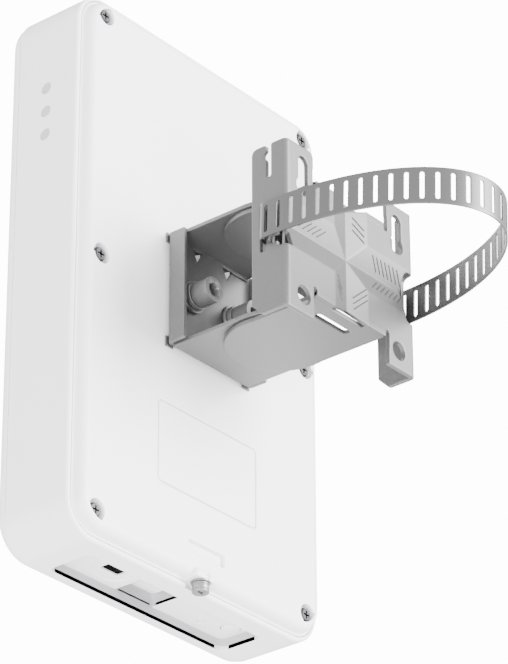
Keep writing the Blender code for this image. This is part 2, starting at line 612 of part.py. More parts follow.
def make_ports():
    """Two network jacks, each behind a round sealing bezel."""
    y = PANEL_BACK - PORT_Y
    for name, x, depth in (("1", PORT_ONE_X, BAY_DEPTH), ("2", PORT_TWO_X, CHANNEL_DEPTH)):
        z = BAY_TOP + depth + BEZEL_SINK
        bezel = cylinder(f"port_bezel_{name}", PORT_HOLE_RADIUS - GAP, (x, y, z), "Z", BEZEL_THICK,
                         "white_plastic", sides=32)
        boolean(bezel, box(f"bezel_mouth_{name}",
                           (x - PLUG_WIDTH / 2, y - PLUG_HEIGHT / 2, z - OVER),
                           (x + PLUG_WIDTH / 2, y + PLUG_HEIGHT / 2, z + BEZEL_THICK + OVER)))
        z += BEZEL_THICK + GAP
        y_low = MAIN_TOP_Y + GAP
        jack = box(f"network_jack_{name}", (x - JACK_WIDTH / 2, y_low, z),
                   (x + JACK_WIDTH / 2, y_low + JACK_HEIGHT, z + JACK_LENGTH), "black_plastic")
        boolean(jack, box(f"jack_mouth_{name}", (x - PLUG_WIDTH / 2, y - PLUG_HEIGHT / 2, z - OVER),
                          (x + PLUG_WIDTH / 2, y + PLUG_HEIGHT / 2, z + JACK_POCKET)))


def make_reset_and_vent():
    """Reset plunger with the switch it works, and the pressure-equalising vent."""
    x, y = RESET_X, PANEL_BACK - RESET_Y
    floor = BAY_TOP + BAY_DEPTH
    collar = floor + BAY_FLOOR + GAP
    board_edge = BAY_TOP + MAIN_LIFT
    stem_end = board_edge - GAP - RESET_TRAVEL
    profile = [(0, stem_end - floor), (RESET_RADIUS, stem_end - floor),
               (RESET_RADIUS, collar + RESET_COLLAR_THICK - floor),
               (RESET_COLLAR, collar + RESET_COLLAR_THICK - floor), (RESET_COLLAR, collar - floor),
               (RESET_RADIUS, collar - floor), (RESET_RADIUS, RESET_SINK), (0, RESET_SINK)]
    turned("reset_button", profile, (x, y, floor), "Z", "white_plastic", 16)
    box("reset_switch", (x - SWITCH_SIZE / 2, MAIN_TOP_Y + GAP, board_edge),
        (x + SWITCH_SIZE / 2, MAIN_TOP_Y + GAP + SWITCH_HEIGHT, board_edge + SWITCH_SIZE),
        "black_plastic")
    x, y = VENT_X, PANEL_BACK - VENT_Y
    neck = VENT_RADIUS - BEZEL_THICK
    profile = [(0, BAY_FLOOR + GAP), (neck, BAY_FLOOR + GAP), (neck, -GAP), (VENT_RADIUS, -GAP),
               (VENT_RADIUS, -GAP - VENT_PROUD), (0, -GAP - VENT_PROUD)]
    turned("pressure_vent", profile, (x, y, floor), "Z", "white_plastic")


def make_lights():
    """Three light pipes from the side wall in to the main board."""
    for k, name in enumerate(("top", "middle", "bottom")):
        z = PANEL_Z + HALF_H - LIGHT_TOP - k * LIGHT_PITCH
        y = PANEL_BACK - LIGHT_Y
        x_out = HALF_W - LIGHT_SINK
        x_in = HALF_W - LIGHT_REACH
        bend = LIGHT_PIPE_BEND
        y_end = MAIN_TOP_Y + GAP
        points = [(x_out, y)]
        for i in range(5):
            angle = math.pi / 2 * i / 4
            points.append((x_in - bend * math.sin(angle), y - bend + bend * math.cos(angle)))
        points.append((x_in - bend, y_end))
        curve = bpy.data.curves.new(f"light_pipe_{name}", "CURVE")
        curve.dimensions = "3D"
        curve.bevel_depth = LIGHT_RADIUS
        curve.bevel_resolution = 3
        curve.use_fill_caps = True
        spline = curve.splines.new("POLY")
        spline.points.add(len(points) - 1)
        for point, (px, py) in zip(spline.points, points):
            point.co = (px, py, z, 1)
        pipe = bpy.data.objects.new(f"light_pipe_{name}", curve)
        curve.materials.append(materials["grey_lens"])
        parts.objects.link(pipe)


# ---------------------------------------------------------------- electronics

def make_electronics():
    """Antenna board, spacer, reflector, main board and what sits on it."""
    half_x = HALF_W - WALL - STACK_MARGIN
    half_z = HALF_H - WALL - STACK_MARGIN
    bay_clear = BAY_TOP + CHANNEL_DEPTH + BAY_FLOOR + GAP
    low, high = bay_clear, PANEL_Z + half_z
    mid, half = (low + high) / 2, (high - low) / 2
    slab("antenna_board", half_x, half, ANTENNA_Y, ANTENNA_Y + BOARD_THICK, STACK_CORNER, "circuit_board",
         (0, mid), segments=2)
    for k in range(4):
        x = (1 if k % 2 == 0 else -1) * half_x / 2
        z = mid + (1 if k < 2 else -1) * half / 2
        box(f"antenna_patch_{k + 1}", (x - PATCH_SIZE / 2, ANTENNA_Y - GAP - PATCH_THICK, z - PATCH_SIZE / 2),
            (x + PATCH_SIZE / 2, ANTENNA_Y - GAP, z + PATCH_SIZE / 2), "copper_patch")
    frame = slab("antenna_spacer", half_x, half, SPACER_Y, SPACER_Y + SPACER_THICK, STACK_CORNER,
                 "black_plastic", (0, mid), segments=2)
    boolean(frame, slab("spacer_window", half_x - SPACER_WIDTH, half - SPACER_WIDTH, SPACER_Y - OVER,
                        SPACER_Y + SPACER_THICK + OVER, SPACER_CORNER, None, (0, mid), segments=2))
    slab("reflector_plate", half_x, half, REFLECTOR_Y, REFLECTOR_Y + REFLECTOR_THICK, STACK_CORNER,
         "aluminium", (0, mid), segments=2)
    main_low = BAY_TOP + MAIN_LIFT
    main_high = main_low + min(MAIN_HEIGHT, 2 * HALF_H - MAIN_LIFT - WALL - STACK_MARGIN)
    half_main = HALF_W - MAIN_MARGIN_X
    board = box("main_board", (-half_main, MAIN_Y, main_low), (half_main, MAIN_TOP_Y, main_high),
                "circuit_board")
    for k, (x, z) in enumerate(COVER_SCREWS):
        boolean(board, cylinder(f"post_clearance_{k}", POST_RADIUS + 2 * GAP, (x, MAIN_Y - OVER, z), "Y",
                                BOARD_THICK + 2 * OVER, sides=16))
    for k in range(4):
        x = (1 if k % 2 == 0 else -1) * (half_main - 2.5 * STANDOFF_RADIUS)
        z = main_high - STANDOFF_INSET if k < 2 else main_low + STANDOFF_INSET
        cylinder(f"board_spacer_{k + 1}", STANDOFF_RADIUS, (x, STANDOFF_Y, z), "Y", STANDOFF_LENGTH,
                 "brass", sides=12)
    y = MAIN_TOP_Y + GAP
    z = PANEL_Z + SHIELD_Z
    can = box("rf_shield", (-SHIELD_WIDTH / 2, y, z - SHIELD_LENGTH / 2),
              (SHIELD_WIDTH / 2, y + SHIELD_HEIGHT, z + SHIELD_LENGTH / 2), "zinc_steel")
    boolean(can, box("shield_hollow",
                     (-SHIELD_WIDTH / 2 + SHIELD_WALL, y - OVER, z - SHIELD_LENGTH / 2 + SHIELD_WALL),
                     (SHIELD_WIDTH / 2 - SHIELD_WALL, y + SHIELD_HEIGHT - SHIELD_WALL,
                      z + SHIELD_LENGTH / 2 - SHIELD_WALL)))
    y += SHIELD_HEIGHT + GAP
    box("heat_spreader", (-SHIELD_WIDTH / 2, y, z - SHIELD_LENGTH / 2),
        (SHIELD_WIDTH / 2, y + SINK_PLATE, z + SHIELD_LENGTH / 2), "aluminium")


# ---------------------------------------------------------------- device bracket

def make_device_bracket():
    """Folded tray: base plate, two side lips, and two round-ended flanges for the pivot."""
    half = TRAY_SIZE / 2
    base_y = TRAY_BASE_Y
    sheet = TRAY_SHEET
    tray = box("device_bracket", (-half, base_y, PANEL_Z - half), (half, base_y + sheet, PANEL_Z + half),
               "grey_powder_coat")
    lip_top = PANEL_Z + half - sheet - LIP_RELIEF
    for k, side in enumerate((1, -1)):
        x0, x1 = sorted((side * half, side * (half - sheet)))
        boolean(tray, box(f"lip_{k}", (x0, base_y, PANEL_Z - lip_top + PANEL_Z),
                          (x1, base_y + TRAY_LIP, lip_top)),
                "UNION")
        z0, z1 = sorted((PANEL_Z + side * half, PANEL_Z + side * (half - sheet)))
        flange = box(f"flange_{k}", (-TRAY_FLANGE_RADIUS, base_y, z0), (TRAY_FLANGE_RADIUS, PIVOT_Y, z1))
        boolean(tray, flange, "UNION")
        boolean(tray, cylinder(f"flange_end_{k}", TRAY_FLANGE_RADIUS, (0, PIVOT_Y, z0), "Z", sheet,
                               sides=48), "UNION")
        boolean(tray, cylinder(f"flange_hole_{k}", PIN_RADIUS + GAP, (0, PIVOT_Y, z0 - OVER), "Z",
                               sheet + 2 * OVER))
    for k, (x, z) in enumerate(TRAY_SCREWS):
        boolean(tray, cylinder(f"tray_hole_{k}", CAP_RADIUS + GAP, (x, base_y - OVER, z), "Y",
                               sheet + 2 * OVER))
        x_mark = math.copysign(TRIANGLE_X, x)
        boolean(tray, cylinder(f"triangle_{k}", TRIANGLE_RADIUS,
                               (x_mark, base_y - OVER, PANEL_Z + TRIANGLE_Z), "Y", sheet + 2 * OVER,
                               sides=3))
    plate = box("backing_plate", (-half, PANEL_BACK + GAP, PANEL_Z - half),
                (half, PANEL_BACK + GAP + PAD_PLATE, PANEL_Z + half), "grey_powder_coat")
    reach = half - PAD_CORNER
    for k, (sx, sz) in enumerate(((1, 0), (-1, 0), (0, 1), (0, -1))):
        x0 = -reach if sx == 0 else min(sx * (half - PAD_EDGE_DEPTH), sx * (half + OVER))
        x1 = reach if sx == 0 else max(sx * (half - PAD_EDGE_DEPTH), sx * (half + OVER))
        z0 = -reach if sz == 0 else min(sz * (half - PAD_EDGE_DEPTH), sz * (half + OVER))
        z1 = reach if sz == 0 else max(sz * (half - PAD_EDGE_DEPTH), sz * (half + OVER))
        boolean(plate, box(f"plate_relief_{k}", (x0, PANEL_BACK - OVER, PANEL_Z + z0),
                           (x1, PANEL_BACK + PAD_PLATE + OVER, PANEL_Z + z1)))
    for k, (x, z) in enumerate(TRAY_SCREWS):
        boolean(plate, cylinder(f"plate_hole_{k}", CAP_RADIUS + GAP, (x, PANEL_BACK - OVER, z), "Y",
                                PAD_PLATE + 2 * OVER))
        boolean(plate, cylinder(f"plate_triangle_{k}", TRIANGLE_RADIUS + TRIANGLE_EASE,
                                (math.copysign(TRIANGLE_X, x), PANEL_BACK - OVER, PANEL_Z + TRIANGLE_Z),
                                "Y", PAD_PLATE + 2 * OVER, sides=3))


def make_tray_screws():
    """Two socket-head screws with spring and flat washers, and the brass inserts they enter."""
    for name, (x, z) in zip(("left", "right"), TRAY_SCREWS):
        y = TRAY_BASE_Y + TRAY_SHEET + GAP
        for kind, radius, thick in (("flat_washer", FLAT_WASHER_RADIUS, FLAT_WASHER_THICK),
                                    ("spring_washer", SPRING_WASHER_RADIUS, SPRING_WASHER_THICK)):
            washer = cylinder(f"{kind}_{name}", radius, (x, y, z), "Y", thick, "zinc_steel")
            boolean(washer, cylinder(f"{kind}_{name}_hole", CAP_RADIUS + GAP, (x, y - OVER, z), "Y",
                                     thick + 2 * OVER))
            if kind == "spring_washer":
                boolean(washer, box(f"split_{name}", (x - SPLIT_HALF, y - OVER, z + CAP_RADIUS / 2),
                                    (x + SPLIT_HALF, y + thick + OVER, z + radius + OVER)))
            y += thick + GAP
        edge = CAP_HEAD_EDGE
        profile = [(0, CAP_HEAD_HEIGHT), (CAP_HEAD_RADIUS - edge, CAP_HEAD_HEIGHT),
                   (CAP_HEAD_RADIUS, CAP_HEAD_HEIGHT - edge), (CAP_HEAD_RADIUS, 0), (CAP_RADIUS, 0),
                   (CAP_RADIUS, -CAP_LENGTH), (0, -CAP_LENGTH)]
        screw = turned(f"cap_screw_{name}", profile, (x, CAP_SEAT_Y, z), "Y", "zinc_steel", 32)
        boolean(screw, cylinder(f"socket_{name}", CAP_SOCKET_RADIUS,
                                (x, CAP_SEAT_Y + CAP_HEAD_HEIGHT - CAP_SOCKET_DEPTH, z), "Y",
                                CAP_SOCKET_DEPTH + OVER, sides=6))
        insert = cylinder(f"threaded_insert_{name}", INSERT_RADIUS, (x, PANEL_BACK - INSERT_LENGTH - GAP, z),
                          "Y", INSERT_LENGTH, "brass")
        boolean(insert, cylinder(f"insert_thread_{name}", CAP_RADIUS + GAP,
                                 (x, PANEL_BACK - INSERT_LENGTH - OVER, z), "Y",
                                 INSERT_LENGTH + 2 * OVER))


# ---------------------------------------------------------------- pole bracket

def groove_plate():
    """Front plate: a sheet pressed with a crossing pair of V grooves, given its thickness inwards."""
    half_x, half_z = HALF_PLATE_W - BEND_RADIUS, PLATE_HALF
    xs = [-half_x, -GROOVE_HALF, 0, GROOVE_HALF, half_x]
    zs = [-half_z, -GROOVE_HALF, 0, GROOVE_HALF, half_z]
    bm = bmesh.new()
    bmesh.ops.create_grid(bm, x_segments=4, y_segments=4, size=2.0)
    for vert in bm.verts:
        x, z = xs[round(vert.co.x) + 2], zs[round(vert.co.y) + 2]
        sink = max(1 - abs(x) / GROOVE_HALF, 1 - abs(z) / GROOVE_HALF, 0)
        vert.co = (x, -GROOVE_DEPTH * sink, z)
    middle = [f for f in bm.faces if all(abs(v.co.x) < GROOVE_HALF * 1.01 and
                                         abs(v.co.z) < GROOVE_HALF * 1.01 for v in f.verts)]
    for face in middle:
        corner = max(face.verts, key=lambda v: abs(v.co.x) + abs(v.co.z))
        centre = min(face.verts, key=lambda v: abs(v.co.x) + abs(v.co.z))
        bmesh.utils.face_split(face, corner, centre)
    plate = to_object("groove_plate", bm)
    solid = plate.modifiers.new("sheet", "SOLIDIFY")
    solid.thickness = PLATE_SHEET
    solid.offset = -1 if plate.data.polygons[0].normal.y > 0 else 1
    solid.use_even_offset = True
    for k, side in enumerate((1, -1)):
        z0, z1 = sorted((side * (PLATE_HALF - PLATE_SHEET - GAP), side * (PLATE_HALF + OVER)))
        boolean(plate, box(f"groove_end_{k}", (-GROOVE_HALF, -GROOVE_DEPTH - 2 * PLATE_SHEET, z0),
                           (GROOVE_HALF, OVER, z1)))
    return plate


def side_angle(name, side):
    """Side flange with its bend and the front strip of ear and foot, full height."""
    x_edge, x_in = side * HALF_PLATE_W, side * EAR_INNER
    steps = 4
    points = [(x_edge, -FLANGE_DEPTH), (x_edge, -BEND_RADIUS)]
    for i in range(1, steps + 1):
        angle = math.pi / 2 * i / steps
        points.append((x_edge - side * BEND_RADIUS * (1 - math.cos(angle)),
                       -BEND_RADIUS + BEND_RADIUS * math.sin(angle)))
    points.append((x_in, 0.0))
    bm = bmesh.new()
    rows = [[bm.verts.new((x, y, z)) for x, y in points] for z in (-EAR_HEIGHT, EAR_HEIGHT)]
    for i in range(len(points) - 1):
        bm.faces.new((rows[0][i], rows[0][i + 1], rows[1][i + 1], rows[1][i]))
    angle = to_object(name, bm)
    solid = angle.modifiers.new("sheet", "SOLIDIFY")
    solid.thickness = PLATE_SHEET
    outward = angle.data.polygons[0].normal.x * side > 0
    solid.offset = -1 if outward else 1
    solid.use_even_offset = True
    inner = HALF_PLATE_W - BEND_RADIUS
    x0, x1 = sorted((side * (EAR_INNER - OVER), side * inner))
    trim = PLATE_HALF - PLATE_SHEET
    boolean(angle, box(f"{name}_trim", (x0, -BEND_RADIUS - OVER, -trim), (x1, OVER, trim)))
    return angle


def make_pole_bracket():
    """One folded plate: grooved front, side flanges with ears and feet, and the pivot tongues."""
    tongue_z = [(PLATE_HALF - PLATE_SHEET, PLATE_HALF), (-PLATE_HALF, -PLATE_HALF + PLATE_SHEET)]
    (z0, z1) = tongue_z[0]
    bracket = box("pole_bracket", (-TONGUE_RADIUS, PIVOT_Y, z0), (TONGUE_RADIUS, 0, z1), "grey_powder_coat")
    low_z0, low_z1 = tongue_z[1]
    low_tongue = box("low_tongue", (-TONGUE_RADIUS, PIVOT_Y, low_z0), (TONGUE_RADIUS, 0, low_z1))
    for k, (base, (a, b)) in enumerate(((bracket, tongue_z[0]), (low_tongue, tongue_z[1]))):
        boolean(base, cylinder(f"tongue_end_{k}", TONGUE_RADIUS, (0, PIVOT_Y, a), "Z", b - a, sides=48),
                "UNION")
        boolean(base, cylinder(f"tongue_hole_{k}", PIN_RADIUS + GAP, (0, PIVOT_Y, a - OVER), "Z",
                               b - a + 2 * OVER))
        boolean(base, box(f"tongue_notch_{k}", (-GROOVE_HALF + GAP, -TONGUE_NOTCH, a - OVER),
                          (GROOVE_HALF - GAP, OVER, b + OVER)))
        boolean(base, box(f"tongue_slit_{k}", (-GROOVE_HALF + SLIT_INSET, BAND_Y - BAND_THICK / 2, a - OVER),
                          (GROOVE_HALF - SLIT_INSET, BAND_Y + BAND_THICK + SLIT_PLAY, b + OVER)))
    boolean(bracket, groove_plate(), "UNION")
    boolean(bracket, low_tongue, "UNION")
    for side, name in ((1, "left_angle"), (-1, "right_angle")):
        boolean(bracket, side_angle(name, side), "UNION")
    for side in (1, -1):
        cut_side_openings(bracket, side)


def cut_side_openings(bracket, side):
    """Slots, windows, keyholes, foot holes and chamfers on one side of the pole bracket."""
    tag = "left" if side > 0 else "right"
    x0, x1 = sorted((side * (HALF_PLATE_W - PLATE_SHEET - OVER), side * (HALF_PLATE_W + OVER)))
    slot_half = BAND_WIDTH / 2 + BAND_TILT * HALF_PLATE_W + SLOT_PLAY
    boolean(bracket, box(f"band_slot_{tag}", (x0, BAND_Y - SLOT_WIDTH / 2, -slot_half),
                         (x1, BAND_Y + SLOT_WIDTH / 2, slot_half)))
    boolean(bracket, box(f"hook_slot_{tag}", (x0, HOOK_SLOT_Y - HOOK_SLOT_WIDTH / 2, HOOK_SLOT_BOTTOM),
                         (x1, HOOK_SLOT_Y + HOOK_SLOT_WIDTH / 2, EAR_HEIGHT + OVER)))
    w0, w1 = sorted((side * (HALF_PLATE_W - BEND_RADIUS), side * (HALF_PLATE_W + OVER)))
    boolean(bracket, box(f"fold_window_{tag}", (w0, -FOLD_WINDOW_DEPTH, -GROOVE_HALF),
                         (w1, OVER, GROOVE_HALF)))
    for k, z in enumerate((BITE_Z, -BITE_Z)):
        boolean(bracket, cylinder(f"bite_{tag}_{k}", BITE_RADIUS,
                                  (x0, -FOLD_WINDOW_DEPTH - BITE_SHIFT, z), "X",
                                  x1 - x0, sides=16))
    x = side * FOOT_HOLE_X
    through = PLATE_SHEET + 2 * OVER
    boolean(bracket, cylinder(f"foot_hole_{tag}", FOOT_HOLE_RADIUS, (x, -PLATE_SHEET - OVER, -FOOT_HOLE_Z),
                              "Y", through))
    boolean(bracket, cylinder(f"keyhole_round_{tag}", KEYHOLE_RADIUS, (x, -PLATE_SHEET - OVER, KEYHOLE_Z),
                              "Y", through))
    boolean(bracket, slab(f"keyhole_slot_{tag}", KEYHOLE_SLOT_RADIUS, (KEYHOLE_TOP - KEYHOLE_Z) / 2 +
                          KEYHOLE_SLOT_RADIUS / 2, -PLATE_SHEET - OVER, OVER, KEYHOLE_SLOT_RADIUS * 0.98, None,
                          (x, (KEYHOLE_TOP + KEYHOLE_Z) / 2 + KEYHOLE_SLOT_RADIUS / 2), segments=5))
    for k, sz in enumerate((1, -1)):
        corner = box(f"ear_chamfer_{tag}_{k}", (-EAR_CHAMFER, -through, -EAR_CHAMFER),
                     (EAR_CHAMFER, through, EAR_CHAMFER))
        corner.location = (side * EAR_INNER, 0, sz * EAR_HEIGHT)
        corner.rotation_euler = (0, math.pi / 4, 0)
        corner.scale = (0.7, 1, 0.7)
        if sz > 0:
            boolean(bracket, corner)
        heel = box(f"heel_chamfer_{tag}_{k}", (-OVER - PLATE_SHEET, -FLANGE_CHAMFER, -FLANGE_CHAMFER),
                   (OVER + PLATE_SHEET, FLANGE_CHAMFER, FLANGE_CHAMFER))
        heel.location = (side * HALF_PLATE_W, -FLANGE_DEPTH, sz * EAR_HEIGHT)
        heel.rotation_euler = (math.pi / 4, 0, 0)
        heel.scale = (1, 0.8, 0.8)
        boolean(bracket, heel)


def make_pivot_pins():
    """Two headed pins: each passes its tray flange and ends flush in the tongue."""
    inner = TRAY_SIZE / 2 - TRAY_SHEET
    reach = TRAY_SHEET + PLATE_SHEET + 2 * GAP
    profile = [(0, PIN_HEAD_HEIGHT), (PIN_HEAD_RADIUS - PIN_HEAD_EDGE, PIN_HEAD_HEIGHT),
               (PIN_HEAD_RADIUS, PIN_HEAD_HEIGHT - PIN_HEAD_EDGE), (PIN_HEAD_RADIUS, 0), (PIN_RADIUS, 0),
               (PIN_RADIUS, -reach), (0, -reach)]
    turned("pivot_pin_bottom", profile, (0, PIVOT_Y, PANEL_Z - inner + GAP), "Z", "zinc_steel")
    turned("pivot_pin_top", profile, (0, PIVOT_Y, PANEL_Z + TRAY_SIZE / 2 + GAP), "Z", "zinc_steel")


# ---------------------------------------------------------------- band clamp

def band_path():
    """Centre line of the band in plan: inner run, slot bend, half ellipse round the pole, and back."""
    lap = (BAND_THICK + GAP) / 2
    bend_x = HALF_PLATE_W
    side_x = bend_x + BAND_BEND
    start_y = BAND_Y + BAND_BEND
    points = [(-CLAMP_LENGTH / 2 + CLAMP_WALL, BAND_Y + lap), (CLAMP_LENGTH / 2 + CLAMP_WALL, BAND_Y + lap),
              (CLAMP_LENGTH, BAND_Y), (bend_x, BAND_Y)]
    for i in range(1, 5):
        angle = math.pi / 2 * i / 4
        points.append((bend_x + BAND_BEND * math.sin(angle), start_y - BAND_BEND * math.cos(angle)))
    steps = 48
    for i in range(1, steps):
        angle = math.pi * i / steps
        points.append((side_x * math.cos(angle), start_y + (BAND_REACH - start_y) * math.sin(angle)))
    for i in range(4, -1, -1):
        angle = math.pi / 2 * i / 4
        points.append((-bend_x - BAND_BEND * math.sin(angle), start_y - BAND_BEND * math.cos(angle)))
    points += [(-CLAMP_LENGTH, BAND_Y), (-CLAMP_LENGTH / 2 - CLAMP_WALL, BAND_Y - lap),
               (CLAMP_LENGTH, BAND_Y - lap)]
    return points


def along(points, distances):
    """Points at the given distances along a chain of straight runs."""
    lengths = [0.0]
    for a, b in zip(points, points[1:]):
        lengths.append(lengths[-1] + math.dist(a, b))
    found = []
    k = 0
    for d in distances:
        while k < len(points) - 2 and lengths[k + 1] < d:
            k += 1
        t = (d - lengths[k]) / (lengths[k + 1] - lengths[k])
        a, b = points[k], points[k + 1]
        found.append((a[0] + (b[0] - a[0]) * t, a[1] + (b[1] - a[1]) * t))
    return found


def make_band():
    """Slotted band: a flat ribbon grid bent along its path, slots left out, then thickened."""
    path = band_path()
    total = sum(math.dist(a, b) for a, b in zip(path, path[1:]))
    count = int((total - BAND_SLOT_PITCH) / BAND_SLOT_PITCH)
    margin = (total - count * BAND_SLOT_PITCH) / 2
    stations = [0.0]
    slot_columns = set()
    for k in range(count):
        middle = margin + (k + 0.5) * BAND_SLOT_PITCH
        slot_columns.add(len(stations))
        stations += [middle - BAND_SLOT_WIDTH / 2, middle + BAND_SLOT_WIDTH / 2]
    stations.append(total)
    heights = [-BAND_WIDTH / 2, -BAND_SLOT_HEIGHT / 2, BAND_SLOT_HEIGHT / 2, BAND_WIDTH / 2]
    spine = along(path, stations)
    bm = bmesh.new()
    grid = [[bm.verts.new((x, y, z)) for z in heights] for x, y in spine]
    for i in range(len(stations) - 1):
        for j in range(3):
            if i in slot_columns and j == 1:
                continue
            bm.faces.new((grid[i][j], grid[i + 1][j], grid[i + 1][j + 1], grid[i][j + 1]))
    band = to_object("band_strap", bm, "stainless_band")
    band.rotation_euler = (0, -TILT, 0)
    solid = band.modifiers.new("sheet", "SOLIDIFY")
    solid.thickness = BAND_THICK
    solid.offset = 0
    return band


def make_clamp():
    """Worm housing round the band's overlap, and the worm screw that draws the band through it."""
    lap = (BAND_THICK + GAP) / 2
    worm_y = BAND_Y - lap - BAND_THICK / 2 - GAP - WORM_HEAD_RADIUS
    half_z = BAND_WIDTH / 2 + 2 * GAP
    channel = lap + BAND_THICK / 2 + GAP
    house = box("worm_housing", (-CLAMP_LENGTH / 2, worm_y - WORM_RADIUS - GAP - CLAMP_WALL,
                                 -half_z - CLAMP_WALL),
                (CLAMP_LENGTH / 2, BAND_Y + channel + CLAMP_WALL, half_z + CLAMP_WALL), "stainless_band")
    run = CLAMP_LENGTH / 2 + OVER
    cuts = [box("band_channel", (-run, BAND_Y - channel, -half_z), (run, BAND_Y + channel, half_z)),
            cylinder("worm_bore", WORM_RADIUS + GAP, (-run, worm_y, 0), "X", 2 * run),
            box("thread_window", (-CLAMP_LENGTH / 4, worm_y, -WORM_RADIUS / 2),
                (CLAMP_LENGTH / 4, BAND_Y, WORM_RADIUS / 2))]
    for tool in cuts:
        boolean(house, tool)
    length = CLAMP_LENGTH + 2 * GAP
    profile = [(0, length / 2 + WORM_NOSE), (WORM_HEAD_RADIUS, length / 2 + WORM_NOSE),
               (WORM_HEAD_RADIUS, length / 2), (WORM_RADIUS, length / 2), (WORM_RADIUS, -length / 2),
               (WORM_HEAD_RADIUS, -length / 2), (WORM_HEAD_RADIUS, -length / 2 - WORM_HEAD_LENGTH),
               (0, -length / 2 - WORM_HEAD_LENGTH)]
    worm = turned("worm_screw", profile, (0, worm_y, 0), "X", "zinc_steel")
    worm_slot = box("worm_slot", (-length / 2 - WORM_HEAD_LENGTH - OVER, worm_y - WORM_SLOT_HALF,
                                  -WORM_HEAD_RADIUS),
                    (-length / 2 - WORM_HEAD_LENGTH + WORM_SLOT_DEPTH, worm_y + WORM_SLOT_HALF,
                     WORM_HEAD_RADIUS))
    boolean(worm, worm_slot)
    swing = Matrix.Rotation(-TILT, 4, "Y")
    for obj in (house, worm, worm_slot, *cuts):
        obj.matrix_world = swing @ obj.matrix_basis
    return worm


# ---------------------------------------------------------------- assembly

def parent_device():
    """Hang everything that swivels on one empty at the pivot axis."""
    pivot = bpy.data.objects.new("azimuth_pivot", None)
    pivot.location = (0, PIVOT_Y, PANEL_Z)
    parts.objects.link(pivot)
    bpy.context.view_layer.update()
    fixed = {"pole_bracket", "pivot_pin_top", "pivot_pin_bottom", "band_strap", "worm_housing",
             "worm_screw"}
    for obj in list(parts.objects):
        if obj is pivot or obj.name in fixed:
            continue
        obj.parent = pivot
        obj.matrix_parent_inverse = pivot.matrix_world.inverted()


def main():
    clear_scene()
    make_materials()
    make_radome()
    make_housing()
    make_back_cover()
    make_gasket()
    make_cover_screws()
    make_ground_terminal()
    make_ports()
    make_reset_and_vent()
    make_lights()
    make_electronics()
    make_device_bracket()
    make_tray_screws()
    make_pole_bracket()
    make_pivot_pins()
    make_band()
    make_clamp()
    parent_device()


main()
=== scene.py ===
"""Outdoor wireless bridge: a sealed flat radio panel on a folded bracket, with a band for the pole."""

import json
import math

import bmesh
import bpy
import numpy as np
from bpy.props import FloatProperty, FloatVectorProperty, IntProperty, PointerProperty
from mathutils import Matrix, Vector


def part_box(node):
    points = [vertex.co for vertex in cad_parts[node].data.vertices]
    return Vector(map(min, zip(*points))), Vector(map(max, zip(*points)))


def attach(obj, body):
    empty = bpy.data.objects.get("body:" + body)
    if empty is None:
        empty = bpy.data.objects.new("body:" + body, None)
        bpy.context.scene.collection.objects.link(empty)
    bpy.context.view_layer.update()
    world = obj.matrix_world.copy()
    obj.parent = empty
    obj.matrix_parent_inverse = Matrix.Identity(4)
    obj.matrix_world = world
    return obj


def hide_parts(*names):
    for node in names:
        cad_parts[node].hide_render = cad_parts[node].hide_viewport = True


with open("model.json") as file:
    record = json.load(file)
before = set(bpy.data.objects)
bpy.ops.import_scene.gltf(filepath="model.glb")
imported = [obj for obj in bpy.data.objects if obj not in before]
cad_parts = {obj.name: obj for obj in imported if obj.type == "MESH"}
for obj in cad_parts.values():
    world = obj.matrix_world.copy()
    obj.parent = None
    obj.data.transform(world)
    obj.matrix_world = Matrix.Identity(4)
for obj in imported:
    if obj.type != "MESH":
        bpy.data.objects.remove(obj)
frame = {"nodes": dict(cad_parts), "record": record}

bl_info = {
    "name": "Outdoor wireless bridge",
    "version": (1, 0, 0),
    "blender": (4, 5, 0),
    "location": "3D View > Sidebar > Bridge",
    "description": "Builds the outer surfaces, finishes and stage of an outdoor wireless bridge",
    "category": "Add Mesh",
}

MM = 0.001
QUARTER = math.pi / 2


def node_box(node):
    """Lowest and highest corner of a CAD node in millimetres."""
    low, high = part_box(node)
    return np.array(low) / MM, np.array(high) / MM


BODY_LOW, BODY_HIGH = node_box("housing")
PANEL_X, PANEL_Z = (BODY_LOW[0] + BODY_HIGH[0]) / 2, (BODY_LOW[2] + BODY_HIGH[2]) / 2
HALF_X, HALF_Z = (BODY_HIGH[0] - BODY_LOW[0]) / 2, (BODY_HIGH[2] - BODY_LOW[2]) / 2
SEAM_Y, RIM_Y = BODY_LOW[1], BODY_HIGH[1]
RADOME_FRONT = node_box("radome_cover")[0][1]
BACK_Y = node_box("backing_plate")[0][1] - 0.3
TRAY_LOW, TRAY_HIGH = node_box("device_bracket")
TRAY_Z, TRAY_HALF = (TRAY_LOW[2] + TRAY_HIGH[2]) / 2, (TRAY_HIGH[2] - TRAY_LOW[2]) / 2
PLATE_HIGH = node_box("pole_bracket")[1]
PIN_LOW, PIN_HIGH = node_box("pivot_pin_top")
PIVOT_Y = (PIN_LOW[1] + PIN_HIGH[1]) / 2
BAND_HIGH = node_box("band_strap")[1]
TONGUE_OUT = 30.35
SCREW_X, SCREW_Z, SCREW_WELL = 73.8, 130.2, 5.1
COVER_SHEET = 2.4
PRINT_STEP = 0.12
CAMERA_ANGLES = 129.675, -28.631, 0.153
CARD_AT = -2.03, -1.68, 1.44
CARD_HALF, CARD_STRENGTH = 0.9, 14.0
CAMERA_AT, CAMERA_LENS = (1.1528, 0.8981, -0.8357), 199.05
SURROUND_STRENGTH, FLOOR_Z, FLOOR_HALF = 2.2, -1.6, 6
BAND_TILT = math.atan(0.04)
LOWER_FACE = BODY_LOW[2]


# ---------------------------------------------------------------- sizes and colours

